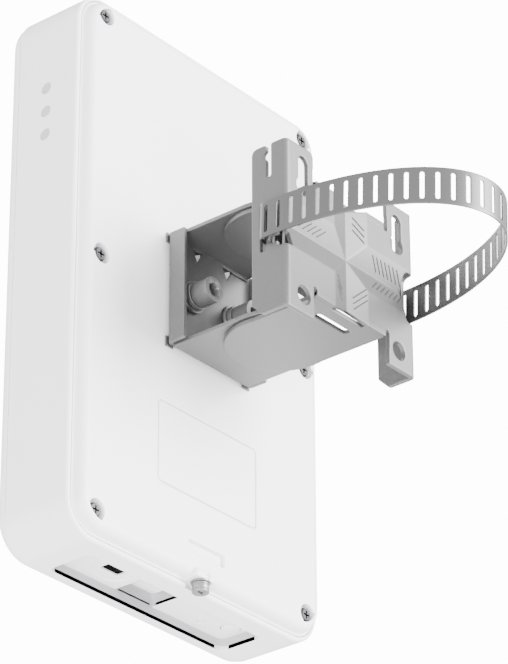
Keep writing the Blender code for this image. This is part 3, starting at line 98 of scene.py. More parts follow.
class BridgeSizes(bpy.types.PropertyGroup):
    """Sizes of the surfaces that the CAD part doesn't fix, in millimetres."""
    corner: FloatProperty(name="Corner radius", description="Radius of the panel's four corners",
                          default=18.0, min=5, max=40)
    wall: FloatProperty(name="Shell wall", description="Thickness of the plastic shells", default=2.6,
                        min=1, max=5)
    radome_round: FloatProperty(name="Radome edge", description="Radius round the radome's front edge",
                                default=6.6, min=1, max=12)
    shoulder: FloatProperty(name="Shoulder width", description="Width of the back cover's rolled shoulder",
                            default=4.2, min=1, max=8)
    plate_sheet: FloatProperty(name="Plate sheet", description="Sheet thickness of the pole bracket",
                               default=2.3, min=1, max=4)
    tray_sheet: FloatProperty(name="Tray sheet", description="Sheet thickness of the device bracket",
                              default=2.0, min=1, max=4)
    slot_pitch: FloatProperty(name="Band slot pitch", description="Distance between the band's slots",
                              default=6.95, min=4, max=12)
    groove: FloatProperty(name="Groove depth", description="Depth of the V grooves in the pole plate",
                          default=3.3, min=0, max=6)
    fineness: IntProperty(name="Segments", description="Segments round a turned piece", default=72, min=24,
                          max=160)


class BridgeColours(bpy.types.PropertyGroup):
    """Colours of the finishes."""
    shell: FloatVectorProperty(name="Shell", description="White plastic shells", subtype="COLOR",
                               default=(0.82, 0.82, 0.84), min=0, max=1)
    coat: FloatVectorProperty(name="Powder coat", description="Coat of the folded brackets",
                              subtype="COLOR", default=(0.13, 0.13, 0.13), min=0, max=1)
    band: FloatVectorProperty(name="Band", description="Rolled steel of the band", subtype="COLOR",
                              default=(0.14, 0.14, 0.14), min=0, max=1)
    zinc: FloatVectorProperty(name="Zinc", description="Plated screws and washers", subtype="COLOR",
                              default=(0.22, 0.22, 0.22), min=0, max=1)
    ink: FloatVectorProperty(name="Ink", description="Printed signs", subtype="COLOR",
                             default=(0.30, 0.30, 0.32), min=0, max=1)


# ---------------------------------------------------------------- finishes

class Maths:
    """A shader value that takes part in Python sums; each operator adds a Math node."""

    def __init__(self, surface, socket):
        self.surface, self.socket = surface, socket

    def _with(self, operation, first, second):
        return self.surface.value("ShaderNodeMath", {"operation": operation}, {0: first, 1: second})

    def __add__(self, other):
        return self._with("ADD", self, other)

    def __mul__(self, other):
        return self._with("MULTIPLY", self, other)

    __radd__ = __add__
    __rmul__ = __mul__


class Finish:
    """One material: a Principled shader and the nodes that feed it."""

    def __init__(self, name, colour, roughness, metallic=0.0, coat=0.0):
        self.material = bpy.data.materials.new(name)
        self.material.use_nodes = True
        self.tree = self.material.node_tree
        self.shader = self.tree.nodes["Principled BSDF"]
        for socket, value in (("Base Color", (*colour, 1)), ("Roughness", roughness),
                              ("Metallic", metallic), ("Coat Weight", coat)):
            self.shader.inputs[socket].default_value = value
        self.material.diffuse_color = (*colour, 1)

    def node(self, kind, settings=None, inputs=None):
        """Adds a node, applies its settings, then fills its sockets with values or links."""
        node = self.tree.nodes.new(kind)
        for key, value in (settings or {}).items():
            if key == "stops":
                for stop, (place, shade) in zip(node.color_ramp.elements, value):
                    stop.position = place
                    stop.color = (shade, shade, shade, 1)
            else:
                setattr(node, key, value)
        for key, value in (inputs or {}).items():
            value = value.socket if isinstance(value, Maths) else value
            if isinstance(value, bpy.types.NodeSocket):
                self.tree.links.new(value, node.inputs[key])
            else:
                node.inputs[key].default_value = value
        return node

    def value(self, kind, settings=None, inputs=None, output=0):
        return Maths(self, self.node(kind, settings, inputs).outputs[output])

    def grain(self, scale, stretch=(1, 1, 1), detail=2.0):
        """Noise on Object coordinates, stretched where the metal was rolled."""
        where = self.node("ShaderNodeTexCoord").outputs["Object"]
        placed = self.node("ShaderNodeMapping", None, {"Vector": where, "Scale": stretch}).outputs[0]
        return self.value("ShaderNodeTexNoise", None,
                          {"Vector": placed, "Scale": scale, "Detail": detail, "Roughness": 0.6})

    def feed(self, socket, value):
        self.tree.links.new(value.socket if isinstance(value, Maths) else value, self.shader.inputs[socket])

    def shade(self, colour, amount, by):
        """Base Color between colour darker and lighter by amount, mixed by a mask."""
        low = [c * (1 - amount) for c in colour]
        high = [min(1.0, c * (1 + amount)) for c in colour]
        mix = self.node("ShaderNodeMix", {"data_type": "RGBA"},
                        {"Factor": by, 6: (*low, 1), 7: (*high, 1)})
        self.feed("Base Color", mix.outputs[2])

    def bump(self, height, strength, distance):
        node = self.node("ShaderNodeBump", None,
                         {"Height": height, "Strength": strength, "Distance": distance})
        self.feed("Normal", node.outputs[0])


def shell_finish(name, colour):
    """White plastic: near-even colour with a very fine moulded grain."""
    made = Finish(name, colour, 0.42)
    grain = made.grain(1800)
    made.shade(colour, 0.008, grain)
    made.bump(grain, 0.12, 0.00004)
    return made.material


def coat_finish(name, colour):
    """Powder coat: fine lighter and darker specks over an orange-peel surface."""
    made = Finish(name, colour, 0.45, 0.65)
    fleck = made.grain(2600, detail=3.0)
    specks = made.value("ShaderNodeValToRGB", {"stops": ((0.34, 0.0), (0.66, 1.0))}, {0: fleck})
    made.shade(colour, 0.16, specks)
    made.feed("Roughness", specks * 0.12 + 0.4)
    made.bump(made.grain(1500) * 0.6 + fleck * 0.4, 0.35, 0.00008)
    return made.material


def steel_finish(name, colour, roughness, stretch=(1, 1, 1), scale=900, amount=0.08, metallic=1.0):
    """Metal with a fine grain that also varies its gloss."""
    made = Finish(name, colour, roughness, metallic)
    lines = made.grain(scale, stretch)
    made.shade(colour, amount, lines)
    made.feed("Roughness", lines * 0.16 + (roughness - 0.08))
    made.bump(lines, 0.1, 0.00003)
    return made.material


def plain_finish(name, colour, roughness, metallic=0.0, coat=0.0):
    return Finish(name, colour, roughness, metallic, coat).material


FINISHES = {}


def finishes():
    """All finishes, made once, by the record's slot name and a few extra names."""
    if FINISHES:
        return FINISHES
    tint = bpy.context.scene.bridge_colours
    FINISHES.update({
        "white_plastic": shell_finish("white_plastic", tint.shell),
        "label_film": plain_finish("label_film", (0.82, 0.82, 0.84), 0.35),
        "grey_powder_coat": coat_finish("grey_powder_coat", tint.coat),
        "stainless_band": steel_finish("stainless_band", tint.band, 0.42, (1, 1, 30), 500, 0.1),
        "zinc_steel": steel_finish("zinc_steel", tint.zinc, 0.4, metallic=0.6),
        "dark_steel": steel_finish("dark_steel", (0.07, 0.07, 0.075), 0.38),
        "brass": steel_finish("brass", (0.62, 0.47, 0.22), 0.3),
        "black_rubber": plain_finish("black_rubber", (0.03, 0.03, 0.03), 0.8),
        "circuit_board": plain_finish("circuit_board", (0.02, 0.16, 0.06), 0.4, 0.0, 0.3),
        "copper_patch": steel_finish("copper_patch", (0.72, 0.38, 0.24), 0.3),
        "aluminium": steel_finish("aluminium", (0.62, 0.62, 0.64), 0.38),
        "black_plastic": plain_finish("black_plastic", (0.02, 0.02, 0.022), 0.45),
        "grey_lens": plain_finish("grey_lens", (0.42, 0.42, 0.44), 0.3),
        "ink": plain_finish("ink", tint.ink, 0.6),
        # Painted shade: the shell colour halved, for the inner walls of the port bay and its channel, where
        # shade falls inside the bay.
        "painted_shade_plastic": shell_finish("painted_shade_plastic", [c * 0.5 for c in tint.shell]),
        "pale_mark": plain_finish("pale_mark", (0.6, 0.6, 0.6), 0.6),
        # Painted shade: the coat colour darkened, for the raised grip ticks, in place of the shade along
        # these small ridges.
        "painted_shade_coat": coat_finish("painted_shade_coat", [c * 0.45 for c in tint.coat]),
    })
    return FINISHES


def paint_cad():
    """Gives every CAD node the finish of its slot."""
    made = finishes()
    slots = {row["node"]: row["material_slot"] for row in frame["record"]["subparts"]}
    for name, obj in frame["nodes"].items():
        obj.data.materials.clear()
        obj.data.materials.append(made[slots[name]])


# ---------------------------------------------------------------- from arrays to pieces

def add_piece(name, points, faces, slot, body, nodes=(), finish=None, sharp=40):
    """Makes one piece from points in millimetres and four-cornered faces, welds its seams and poles,
    turns its faces outwards and lets it ride on its body."""
    faces = np.asarray(faces, np.int32).reshape(-1, 4)
    used, faces = np.unique(faces, return_inverse=True)
    points = np.asarray(points, float).reshape(-1, 3)[used] * MM
    faces = faces.reshape(-1, 4)
    mesh = bpy.data.meshes.new(name)
    mesh.vertices.add(len(points))
    mesh.vertices.foreach_set("co", points.astype(np.float32).ravel())
    mesh.loops.add(faces.size)
    mesh.loops.foreach_set("vertex_index", faces.astype(np.int32).ravel())
    mesh.polygons.add(len(faces))
    mesh.polygons.foreach_set("loop_start", np.arange(0, faces.size, 4, dtype=np.int32))
    mesh.update(calc_edges=True)
    bm = bmesh.new()
    bm.from_mesh(mesh)
    bmesh.ops.remove_doubles(bm, verts=bm.verts, dist=2e-6)
    bmesh.ops.recalc_face_normals(bm, faces=bm.faces)
    bm.to_mesh(mesh)
    bm.free()
    mesh.materials.append(finishes()[finish or slot])
    mesh.shade_smooth()
    mesh.set_sharp_from_angle(angle=math.radians(sharp))
    obj = bpy.data.objects.new(name, mesh)
    bpy.context.scene.collection.objects.link(obj)
    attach(obj, body)
    if nodes:
        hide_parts(*nodes)
    return obj


def grid_faces(rows, columns, wrap_rows=False, wrap_columns=False):
    """Faces of a grid of rows by columns, closed round either way when asked."""
    i = np.arange(rows if wrap_rows else rows - 1)
    j = np.arange(columns if wrap_columns else columns - 1)
    a, b = np.meshgrid(i, j, indexing="ij")
    c, d = (a + 1) % rows, (b + 1) % columns
    return np.stack([a * columns + b, c * columns + b, c * columns + d, a * columns + d], -1).reshape(-1, 4)


def gather(*shells):
    """Several (points, faces) shells as one."""
    points, faces, start = [], [], 0
    for shell_points, shell_faces in shells:
        shell_points = np.asarray(shell_points).reshape(-1, 3)
        points.append(shell_points)
        faces.append(np.asarray(shell_faces) + start)
        start += len(shell_points)
    return np.concatenate(points), np.concatenate(faces)


def turned(profile, centre, axis, segments=None, shape=None):
    """A profile of (radius, height) points turned about an axis: a point is centre + radius * (across
    cos + up sin) + height * axis. shape(angle, row) may scale the radius, as for a hexagon socket."""
    count = segments or bpy.context.scene.bridge_sizes.fineness
    angle = np.linspace(0, 2 * math.pi, count, endpoint=False)
    radius, height = np.array(profile, float).T
    radius = np.tile(radius, (count, 1))
    if shape:
        radius = radius * shape(angle[:, None], np.arange(len(height))[None, :])
    axis = np.array(axis, float) / np.linalg.norm(axis)
    across = np.cross(axis, (0.0, 0.0, 1.0) if abs(axis[2]) < 0.9 else (0.0, 1.0, 0.0))
    across /= np.linalg.norm(across)
    up = np.cross(axis, across)
    points = (np.array(centre) + (radius * np.cos(angle)[:, None])[..., None] * across +
              (radius * np.sin(angle)[:, None])[..., None] * up +
              np.broadcast_to(height, radius.shape)[..., None] * axis)
    closed = profile[0][0] > 0
    return points, grid_faces(count, len(profile), True, closed)


def softened(profile, radius, steps=4, closed=False):
    """A profile whose corners are arcs: each corner is replaced by points on the quarter-like curve
    (1-t)^2 before + 2t(1-t) corner + t^2 after, with before and after one radius away on either side."""
    corners = np.array(profile, float)
    count = len(corners)
    made = []
    share = np.linspace(0, 1, steps + 1)[:, None]
    for k in range(count):
        here = corners[k]
        if not closed and k in (0, count - 1):
            made.append(here[None])
            continue
        back, on = corners[k - 1] - here, corners[(k + 1) % count] - here
        reach = min(radius, np.linalg.norm(back) * 0.45, np.linalg.norm(on) * 0.45)
        before = here + back / np.linalg.norm(back) * reach
        after = here + on / np.linalg.norm(on) * reach
        made.append((1 - share) ** 2 * before + 2 * share * (1 - share) * here + share ** 2 * after)
    return np.concatenate(made)


def round_path(s, half_a, half_b, radius):
    """Round a rounded rectangle by arc length s from the middle of its +a side: the corner arc's centre
    (a, b) and the outward direction there, both read off straight runs and quarter turns in order."""
    a, b, arc = half_a - radius, half_b - radius, QUARTER * radius
    knots = np.cumsum([0, b, arc, 2 * a, arc, 2 * b, arc, 2 * a, arc, b])
    turn = np.interp(s, knots, np.array([0, 0, 1, 1, 2, 2, 3, 3, 4, 4]) * QUARTER)
    centre_a = np.interp(s, knots, [a, a, a, -a, -a, -a, -a, a, a, a])
    centre_b = np.interp(s, knots, [0, b, b, b, b, -b, -b, -b, -b, 0])
    return centre_a, centre_b, np.cos(turn), np.sin(turn)


def path_knots(half_a, half_b, radius, per_turn=14):
    """Arc lengths that sample a rounded rectangle: ends of its straight runs and steps in its turns."""
    a, b, arc = half_a - radius, half_b - radius, QUARTER * radius
    knots = np.cumsum([0, b, arc, 2 * a, arc, 2 * b, arc, 2 * a, arc, b])
    parts = [np.linspace(knots[k], knots[k + 1], per_turn + 1 if k % 2 else 3)[:-1] for k in range(9)]
    return np.concatenate(parts)


def swept(half_a, half_b, radius, profile, centre, plane="XZ", closed=True, per_turn=14):
    """A profile of (inset, height) carried round a rounded rectangle: the point is the arc centre plus
    (radius - inset) times the outward direction, lifted by height. An open profile ends on the middle:
    rings past its first and last point shrink to the centre, which closes a flat cap."""
    s = path_knots(half_a, half_b, radius, per_turn)
    ca, cb, da, db = (part[:, None] for part in round_path(s, half_a, half_b, radius))
    inset, height = np.array(profile, float).T
    reach = radius - inset[None, :]
    a, b = ca + reach * da, cb + reach * db
    height = np.broadcast_to(height, a.shape)
    if not closed:
        a = np.concatenate([a[:, :1] * 0, a, a[:, -1:] * 0], 1)
        b = np.concatenate([b[:, :1] * 0, b, b[:, -1:] * 0], 1)
        height = np.concatenate([height[:, :1], height, height[:, -1:]], 1)
    a, b = a + centre[0], b + centre[1]
    if plane == "XZ":
        points = np.stack([a, height, b], -1)
    elif plane == "XY":
        points = np.stack([a, b, height], -1)
    else:
        points = np.stack([height, a, b], -1)
    return points, grid_faces(points.shape[0], points.shape[1], True, closed)


def lines(*spans):
    """Grid lines for runs of (start, end, step)."""
    runs = [np.linspace(lo, hi, max(2, int(round(abs(hi - lo) / step)) + 1)) for lo, hi, step in spans]
    return np.unique(np.round(np.concatenate(runs), 4))


def cut_sheet(u, v, place, outline, thick, lip=0.3, around=False):
    """A sheet with a free outline. Its front is place(u, v) over a grid, kept where outline, a signed
    distance, is below -lip. Corners of kept cells at the edge slide down the outline's slope to -lip.
    The back is the front moved against its normal by thick, and rows on a quarter circle of radius lip
    join them: sideways lip * sin(t), inwards lip * (1 - cos(t))."""
    lip = min(lip, abs(thick) * 0.45)
    way = math.copysign(1, thick)
    grid_u, grid_v = (g.copy() for g in np.meshgrid(u, v, indexing="ij"))
    rows, columns = grid_u.shape
    mid_u, mid_v = (0.25 * (g[1:, 1:] + g[:-1, 1:] + g[1:, :-1] + g[:-1, :-1]) for g in (grid_u, grid_v))
    kept = outline(mid_u, mid_v) < -lip
    padded = np.pad(kept, 1)
    if around:
        padded[0], padded[-1] = padded[-2], padded[1]
    touching = (padded[1:, 1:].astype(int) + padded[:-1, 1:] + padded[1:, :-1] + padded[:-1, :-1])
    edge = (touching > 0) & (touching < 4)
    step_u, step_v = np.gradient(np.asarray(u))[:, None], np.gradient(np.asarray(v))[None, :]
    small = 0.01
    eu, ev = grid_u[edge], grid_v[edge]
    limit = np.maximum(np.broadcast_to(step_u, edge.shape)[edge], np.broadcast_to(step_v, edge.shape)[edge])
    for _ in range(5):
        there = outline(eu, ev) + lip
        slope_u = (outline(eu + small, ev) + lip - there) / small
        slope_v = (outline(eu, ev + small) + lip - there) / small
        size = np.maximum(slope_u ** 2 + slope_v ** 2, 0.2)
        move = np.clip(there / size, -limit, limit)
        eu, ev = eu - move * slope_u, ev - move * slope_v
    grid_u[edge], grid_v[edge] = eu, ev
    size = np.sqrt(np.maximum(slope_u ** 2 + slope_v ** 2, 1e-6))
    out_u, out_v = np.zeros_like(grid_u), np.zeros_like(grid_v)
    out_u[edge], out_v[edge] = slope_u / size, slope_v / size

    def normal(a, b):
        along, over = place(a + small, b) - place(a - small, b), place(a, b + small) - place(a, b - small)
        made = np.cross(over, along)
        return made / np.maximum(np.linalg.norm(made, axis=-1, keepdims=True), 1e-12)

    depth = abs(thick)
    turns = np.radians([30, 60, 90])
    profile = [(0, 0)] + [(lip * math.sin(t), lip * (1 - math.cos(t))) for t in turns]
    profile += [(side, depth - deep) for side, deep in reversed(profile)]
    layers = []
    for side, deep in profile:
        a, b = grid_u + out_u * side, grid_v + out_v * side
        layers.append(place(a, b) - normal(a, b) * deep * way)
    points = np.concatenate([layer.reshape(-1, 3) for layer in layers])
    index = np.arange(rows * columns).reshape(rows, columns)
    cell = np.stack([index[:-1, :-1], index[1:, :-1], index[1:, 1:], index[:-1, 1:]], -1)[kept]
    last = rows * columns * (len(profile) - 1)
    faces = [cell, cell[:, ::-1] + last]
    across = padded[1:-1, 1:] != padded[1:-1, :-1]
    down = padded[1:, 1:-1] != padded[:-1, 1:-1]
    starts = np.concatenate([index[:-1, :][across], index[:, :-1][down]])
    ends = np.concatenate([index[1:, :][across], index[:, 1:][down]])
    for k in range(len(profile) - 1):
        a, b = rows * columns * k, rows * columns * (k + 1)
        faces.append(np.stack([starts + a, ends + a, ends + b, starts + b], -1))
    return points, np.concatenate(faces)


# signed distances: negative inside

def box_edge(x, z, half_x, half_z, radius=0.0, at=(0.0, 0.0)):
    """Rounded rectangle: length of the part outside plus the larger overhang inside, less the radius."""
    qx, qz = np.abs(x - at[0]) - half_x + radius, np.abs(z - at[1]) - half_z + radius
    return np.hypot(np.maximum(qx, 0), np.maximum(qz, 0)) + np.minimum(np.maximum(qx, qz), 0) - radius


def disc_edge(x, z, radius, at=(0.0, 0.0)):
    """Circle: distance from its centre less its radius."""
    return np.hypot(x - at[0], z - at[1]) - radius


def stroke_edge(x, z, start, end, radius):
    """Round-ended bar: distance from the nearest point of a line from start to end, less its radius."""
    along = np.array(end, float) - start
    share = np.clip(((x - start[0]) * along[0] + (z - start[1]) * along[1]) / (along @ along), 0, 1)
    return np.hypot(x - start[0] - share * along[0], z - start[1] - share * along[1]) - radius


def joined(*edges):
    return np.minimum.reduce(edges)


def without(edge, *holes):
    return np.maximum.reduce([edge] + [-hole for hole in holes])


def folded(s, flat, radius, angle=QUARTER):
    """Where a strip goes that runs flat, turns by angle round radius, then runs straight: the distance
    along and the distance away from the flat, from the arc length s either side of the middle."""
    size = np.abs(s)
    turn = np.clip((size - flat) / radius, 0, angle)
    rest = np.maximum(size - flat - radius * angle, 0)
    along = np.minimum(size, flat) + radius * np.sin(turn) + rest * math.cos(angle)
    away = radius * (1 - np.cos(turn)) + rest * math.sin(angle)
    return np.sign(s) * along, away


# ---------------------------------------------------------------- radio panel

def build_radome():
    """Front shell: the profile rises up the side wall, turns round the front edge and runs flat."""
    size = bpy.context.scene.bridge_sizes
    edge, wall, front = size.radome_round, size.wall, RADOME_FRONT
    turn = np.linspace(0, QUARTER, 9)
    outer = [(0.15, SEAM_Y - 0.35), (0.0, SEAM_Y - 0.7)]
    outer += [(edge * (1 - math.cos(t)), front + edge * (1 - math.sin(t))) for t in turn]
    inner = [(wall + (edge - wall) * (1 - math.cos(t)), front + wall + (edge - wall) * (1 - math.sin(t)))
             for t in turn[::-1]]
    inner += [(wall, SEAM_Y - 0.35)]
    s = path_knots(HALF_X, HALF_Z, size.corner + 1.5)
    rows = len(s)
    profile = outer + inner
    ca, cb, da, db = (p[:, None] for p in round_path(s, HALF_X, HALF_Z, size.corner + 1.5))
    inset, height = np.array(profile).T
    reach = size.corner + 1.5 - inset[None, :]
    a, b = ca + reach * da, cb + reach * db
    height = np.broadcast_to(height, a.shape)
    middle = len(outer)
    zero = a[:, :1] * 0
    a = np.concatenate([a[:, :middle], zero, zero, a[:, middle:]], 1)
    b = np.concatenate([b[:, :middle], zero, zero, b[:, middle:]], 1)
    height = np.concatenate([height[:, :middle], zero + front, zero + front + wall, height[:, middle:]], 1)
    points = np.stack([a + PANEL_X, height, b + PANEL_Z], -1)
    faces = grid_faces(rows, points.shape[1], True, True)
    skip = faces[:, 0] % points.shape[1] == middle
    add_piece("radome_shell", points, faces[~skip], "white_plastic", "device", ("radome_cover",))


LIGHTS_Z = (95.5, 82.7, 70.1)
LIGHT_Y = -112.5
BAY = {"at": (0.6, -115.8), "half": (60.0, 12.4), "corner": 4.0, "deep": 6.3}
CHANNEL = {"at": (2.5, -115.8), "half": (12.9, 12.4), "deep": 13.0}
PORT_ONE, PORT_TWO = (30.5, -116.8), (1.5, -116.8)
RESET, VENT = (-36.8, -121.8), (-52.0, -116.0)
TAB_X, TAB_Y = 1.6, -88.7


def build_housing():
    """Side walls: a profile of wall, rounded rim and groove carried round the corners, with the light
    holes and the port bay left out of it."""
    size = bpy.context.scene.bridge_sizes
    radius, rim = size.corner, 1.9
    wall_run = RIM_Y - rim - SEAM_Y
    total = 4 * (HALF_X - radius) + 4 * (HALF_Z - radius) + 4 * QUARTER * radius

    def place(s, v):
        ca, cb, da, db = round_path(np.mod(s, total), HALF_X, HALF_Z, radius)
        turn = np.clip((v - wall_run) / rim, 0, QUARTER)
        over = np.maximum(v - wall_run - rim * QUARTER, 0)
        inset = rim * (1 - np.cos(turn)) + over
        y = SEAM_Y + np.minimum(v, wall_run) + rim * np.sin(turn)
        return np.stack([PANEL_X + ca + (radius - inset) * da, y, PANEL_Z + cb + (radius - inset) * db], -1)

    end = wall_run + rim * QUARTER

    def outline(s, v):
        spot = place(s, v)
        x, y, z = spot[..., 0], spot[..., 1], spot[..., 2]
        edge = np.maximum(-v, v - end)
        bay = box_edge(x, y, *BAY["half"], BAY["corner"], BAY["at"])
        bay = np.where(z < LOWER_FACE + 8, bay, 50)
        tab = box_edge(x, y, 5.2, 1.5, 1.0, (TAB_X, -92.4))
        tab = np.where(z < LOWER_FACE + 8, tab, 50)
        lights = joined(*[disc_edge(y, z, 3.1, (LIGHT_Y, spot_z)) for spot_z in LIGHTS_Z])
        lights = np.where(x > HALF_X - 8, lights, 50)
        return without(edge, bay, tab, lights)

    b, a, arc = HALF_Z - radius, HALF_X - radius, QUARTER * radius
    top = b + arc
    left = top + 2 * a + arc
    low = left + 2 * b + arc
    mid_low = low + a
    u = lines((0, 55, 18), (55, 105, 0.7), (105, b, 8), (b, top, 1.6), (top, top + 2 * a, 12),
              (top + 2 * a, left, 1.6), (left, left + 2 * b, 20), (left + 2 * b, low, 1.6),
              (low, mid_low - 66, 5), (mid_low - 66, mid_low + 66, 0.8), (mid_low + 66, low + 2 * a, 5),
              (low + 2 * a, low + 2 * a + arc, 1.6), (low + 2 * a + arc, total, 20))
    v = lines((0, 2.4, 0.2), (2.4, wall_run, 0.8), (wall_run, end, 0.35))
    shell = cut_sheet(u, v, place, outline, size.wall, 0.2, around=True)
    add_piece("side_walls", *shell, "white_plastic", "device", ("housing",))


def level_at(z):
    """Where a level sheet lies: across and along as given, at the height z."""
    return lambda x, y: np.stack([x, y, np.full_like(x, z)], -1)


def upright_at(y):
    """Where an upright sheet lies: across and up as given, at the depth y."""
    return lambda x, z: np.stack([x, np.full_like(x, y), z], -1)


def port_edge(x, y, at, half, radius):
    """Round-ended port outline: a bar of the radius, half to each side of the port's middle."""
    return stroke_edge(x, y, (at[0] - half, at[1]), (at[0] + half, at[1]), radius)


def build_port_bay():
    """The bay's walls, its floor with the port and button holes, and the deeper channel."""
    floor, deep = LOWER_FACE + BAY["deep"], LOWER_FACE + CHANNEL["deep"]
    mouth, bay_top, channel_top = LOWER_FACE + 0.4, floor + 1.2, deep + 1.0
    bay_skin, channel_skin, fine, channel_round = 1.4, 1.2, 0.7, 2.0
    wall = swept(*BAY["half"], BAY["corner"],
                 [(0.0, mouth), (0.0, bay_top), (-bay_skin, bay_top), (-bay_skin, mouth)], BAY["at"], "XY")
    # The bay walls take the darkened shell finish: painted shade inside the bay.
    add_piece("bay_walls", *wall, "white_plastic", "device", finish="painted_shade_plastic")
    u = lines((-62, -32, fine), (-32, -15, 2), (-15, 44, fine), (44, 58, 2), (58, 62, fine))
    v = lines((-131, -101, fine))
    port_half, port_cut = 2, 8.4

    def floor_edge(x, y):
        return without(box_edge(x, y, BAY["half"][0] + 0.6, BAY["half"][1] + 0.6, BAY["corner"], BAY["at"]),
                       box_edge(x, y, CHANNEL["half"][0], CHANNEL["half"][1] + 2, channel_round,
                                CHANNEL["at"]),
                       port_edge(x, y, PORT_ONE, port_half, port_cut),
                       disc_edge(x, y, 1.9, RESET), disc_edge(x, y, 4.9, VENT),
                       stroke_edge(x, y, (-31.4, -111), (-41.7, -111), 0.35))

    add_piece("bay_floor", *cut_sheet(u, v, level_at(floor), floor_edge, 2.2, 0.4), "white_plastic", "device")
    sill = floor + 0.3
    channel = swept(*CHANNEL["half"], channel_round,
                    [(0.0, sill), (0.0, channel_top), (-channel_skin, channel_top), (-channel_skin, sill)],
                    CHANNEL["at"], "XY", per_turn=8)
    # The channel walls take the darkened shell finish: painted shade inside the deeper channel.
    add_piece("channel_walls", *channel, "white_plastic", "device", finish="painted_shade_plastic")
    u2 = lines((-16, 16, fine))

    def channel_edge(x, y):
        return without(box_edge(x, y, CHANNEL["half"][0] + 0.5, CHANNEL["half"][1] + 0.5, channel_round,
                                CHANNEL["at"]),
                       disc_edge(x, y, 9.2, PORT_TWO))

    add_piece("channel_floor", *cut_sheet(u2, v, level_at(deep), channel_edge, 2.0, 0.4), "white_plastic",
              "device")
    for name, number, (x, y), level, face in (("one", 1, PORT_ONE, floor, floor + 0.6),
                                              ("two", 2, PORT_TWO, deep, deep - 2.5)):
        u3, v3 = (lines((middle - 11, middle + 11, fine)) for middle in (x, y))

        def bezel(p, q, x=x, y=y, number=number):
            rim = (port_edge(p, q, (x, y), port_half, 9.4) if number == 1
                   else box_edge(p, q, 7.2, 5.2, 1.5, (x, y)))
            return without(rim, box_edge(p, q, 6.1, 2.9, 0.5, (x, y + 0.9)))

        shell = cut_sheet(u3, v3, level_at(face), bezel, 1.2, 0.3)
        add_piece(f"port_bezel_{name}", *shell, "white_plastic", "device", (f"port_bezel_{number}",))
        if number == 2:
            collar = swept(7.6, 5.6, 1.5, [(0.0, level - 2.6), (0.3, level - 2.9), (1.3, level - 2.9),
                                           (1.3, level + 0.4), (0.0, level + 0.4)], (x, y), "XY", True, 8)
            add_piece("port_collar", *collar, "white_plastic", "device")
        contact_pitch, contact_y = 1.1, y + 3.2
        rows = [x + k * contact_pitch for k in range(-3, 5)]
        fingers = [bar((row, contact_y, level + 3.2), (row, contact_y, level + 11), 0.25) for row in rows]
        add_piece(f"port_contacts_{name}", *gather(*fingers), "brass", "device")
    low, high, vent_radius = floor - 0.8, floor + 1.6, 4.5
    cap = softened([(0, low), (vent_radius, low), (vent_radius, high), (0, high)], 0.5)
    add_piece("vent_cap", *turned(cap, (*VENT, 0), (0, 0, 1), 48), "white_plastic", "device",
              ("pressure_vent",))


def bar(start, end, radius, sides=8):
    """A straight round bar: circles of the radius at both ends, closed by their centres."""
    start, end = np.array(start, float), np.array(end, float)
    length = np.linalg.norm(end - start)
    return turned([(0, 0), (radius, 0), (radius, length), (0, length)], start, end - start, sides)


def build_reset_button():
    """Reset plunger: a slim turned stem with its collar behind the bay floor."""
    low, high = node_box("reset_button")
    centre = ((low[0] + high[0]) / 2, (low[1] + high[1]) / 2, 0)
    collar = LOWER_FACE + BAY["deep"] + 2.9
    stem, flange, shoulder, top = 1.45, 2.55, collar + 0.9, high[2] - 0.05
    profile = softened([(0, low[2]), (stem, low[2]), (stem, collar), (flange, collar), (flange, shoulder),
                        (stem, shoulder), (stem, top), (0, top)], 0.25)
    add_piece("reset_plunger", *turned(profile, centre, (0, 0, 1), 32), "white_plastic", "reset",
              ("reset_button",))


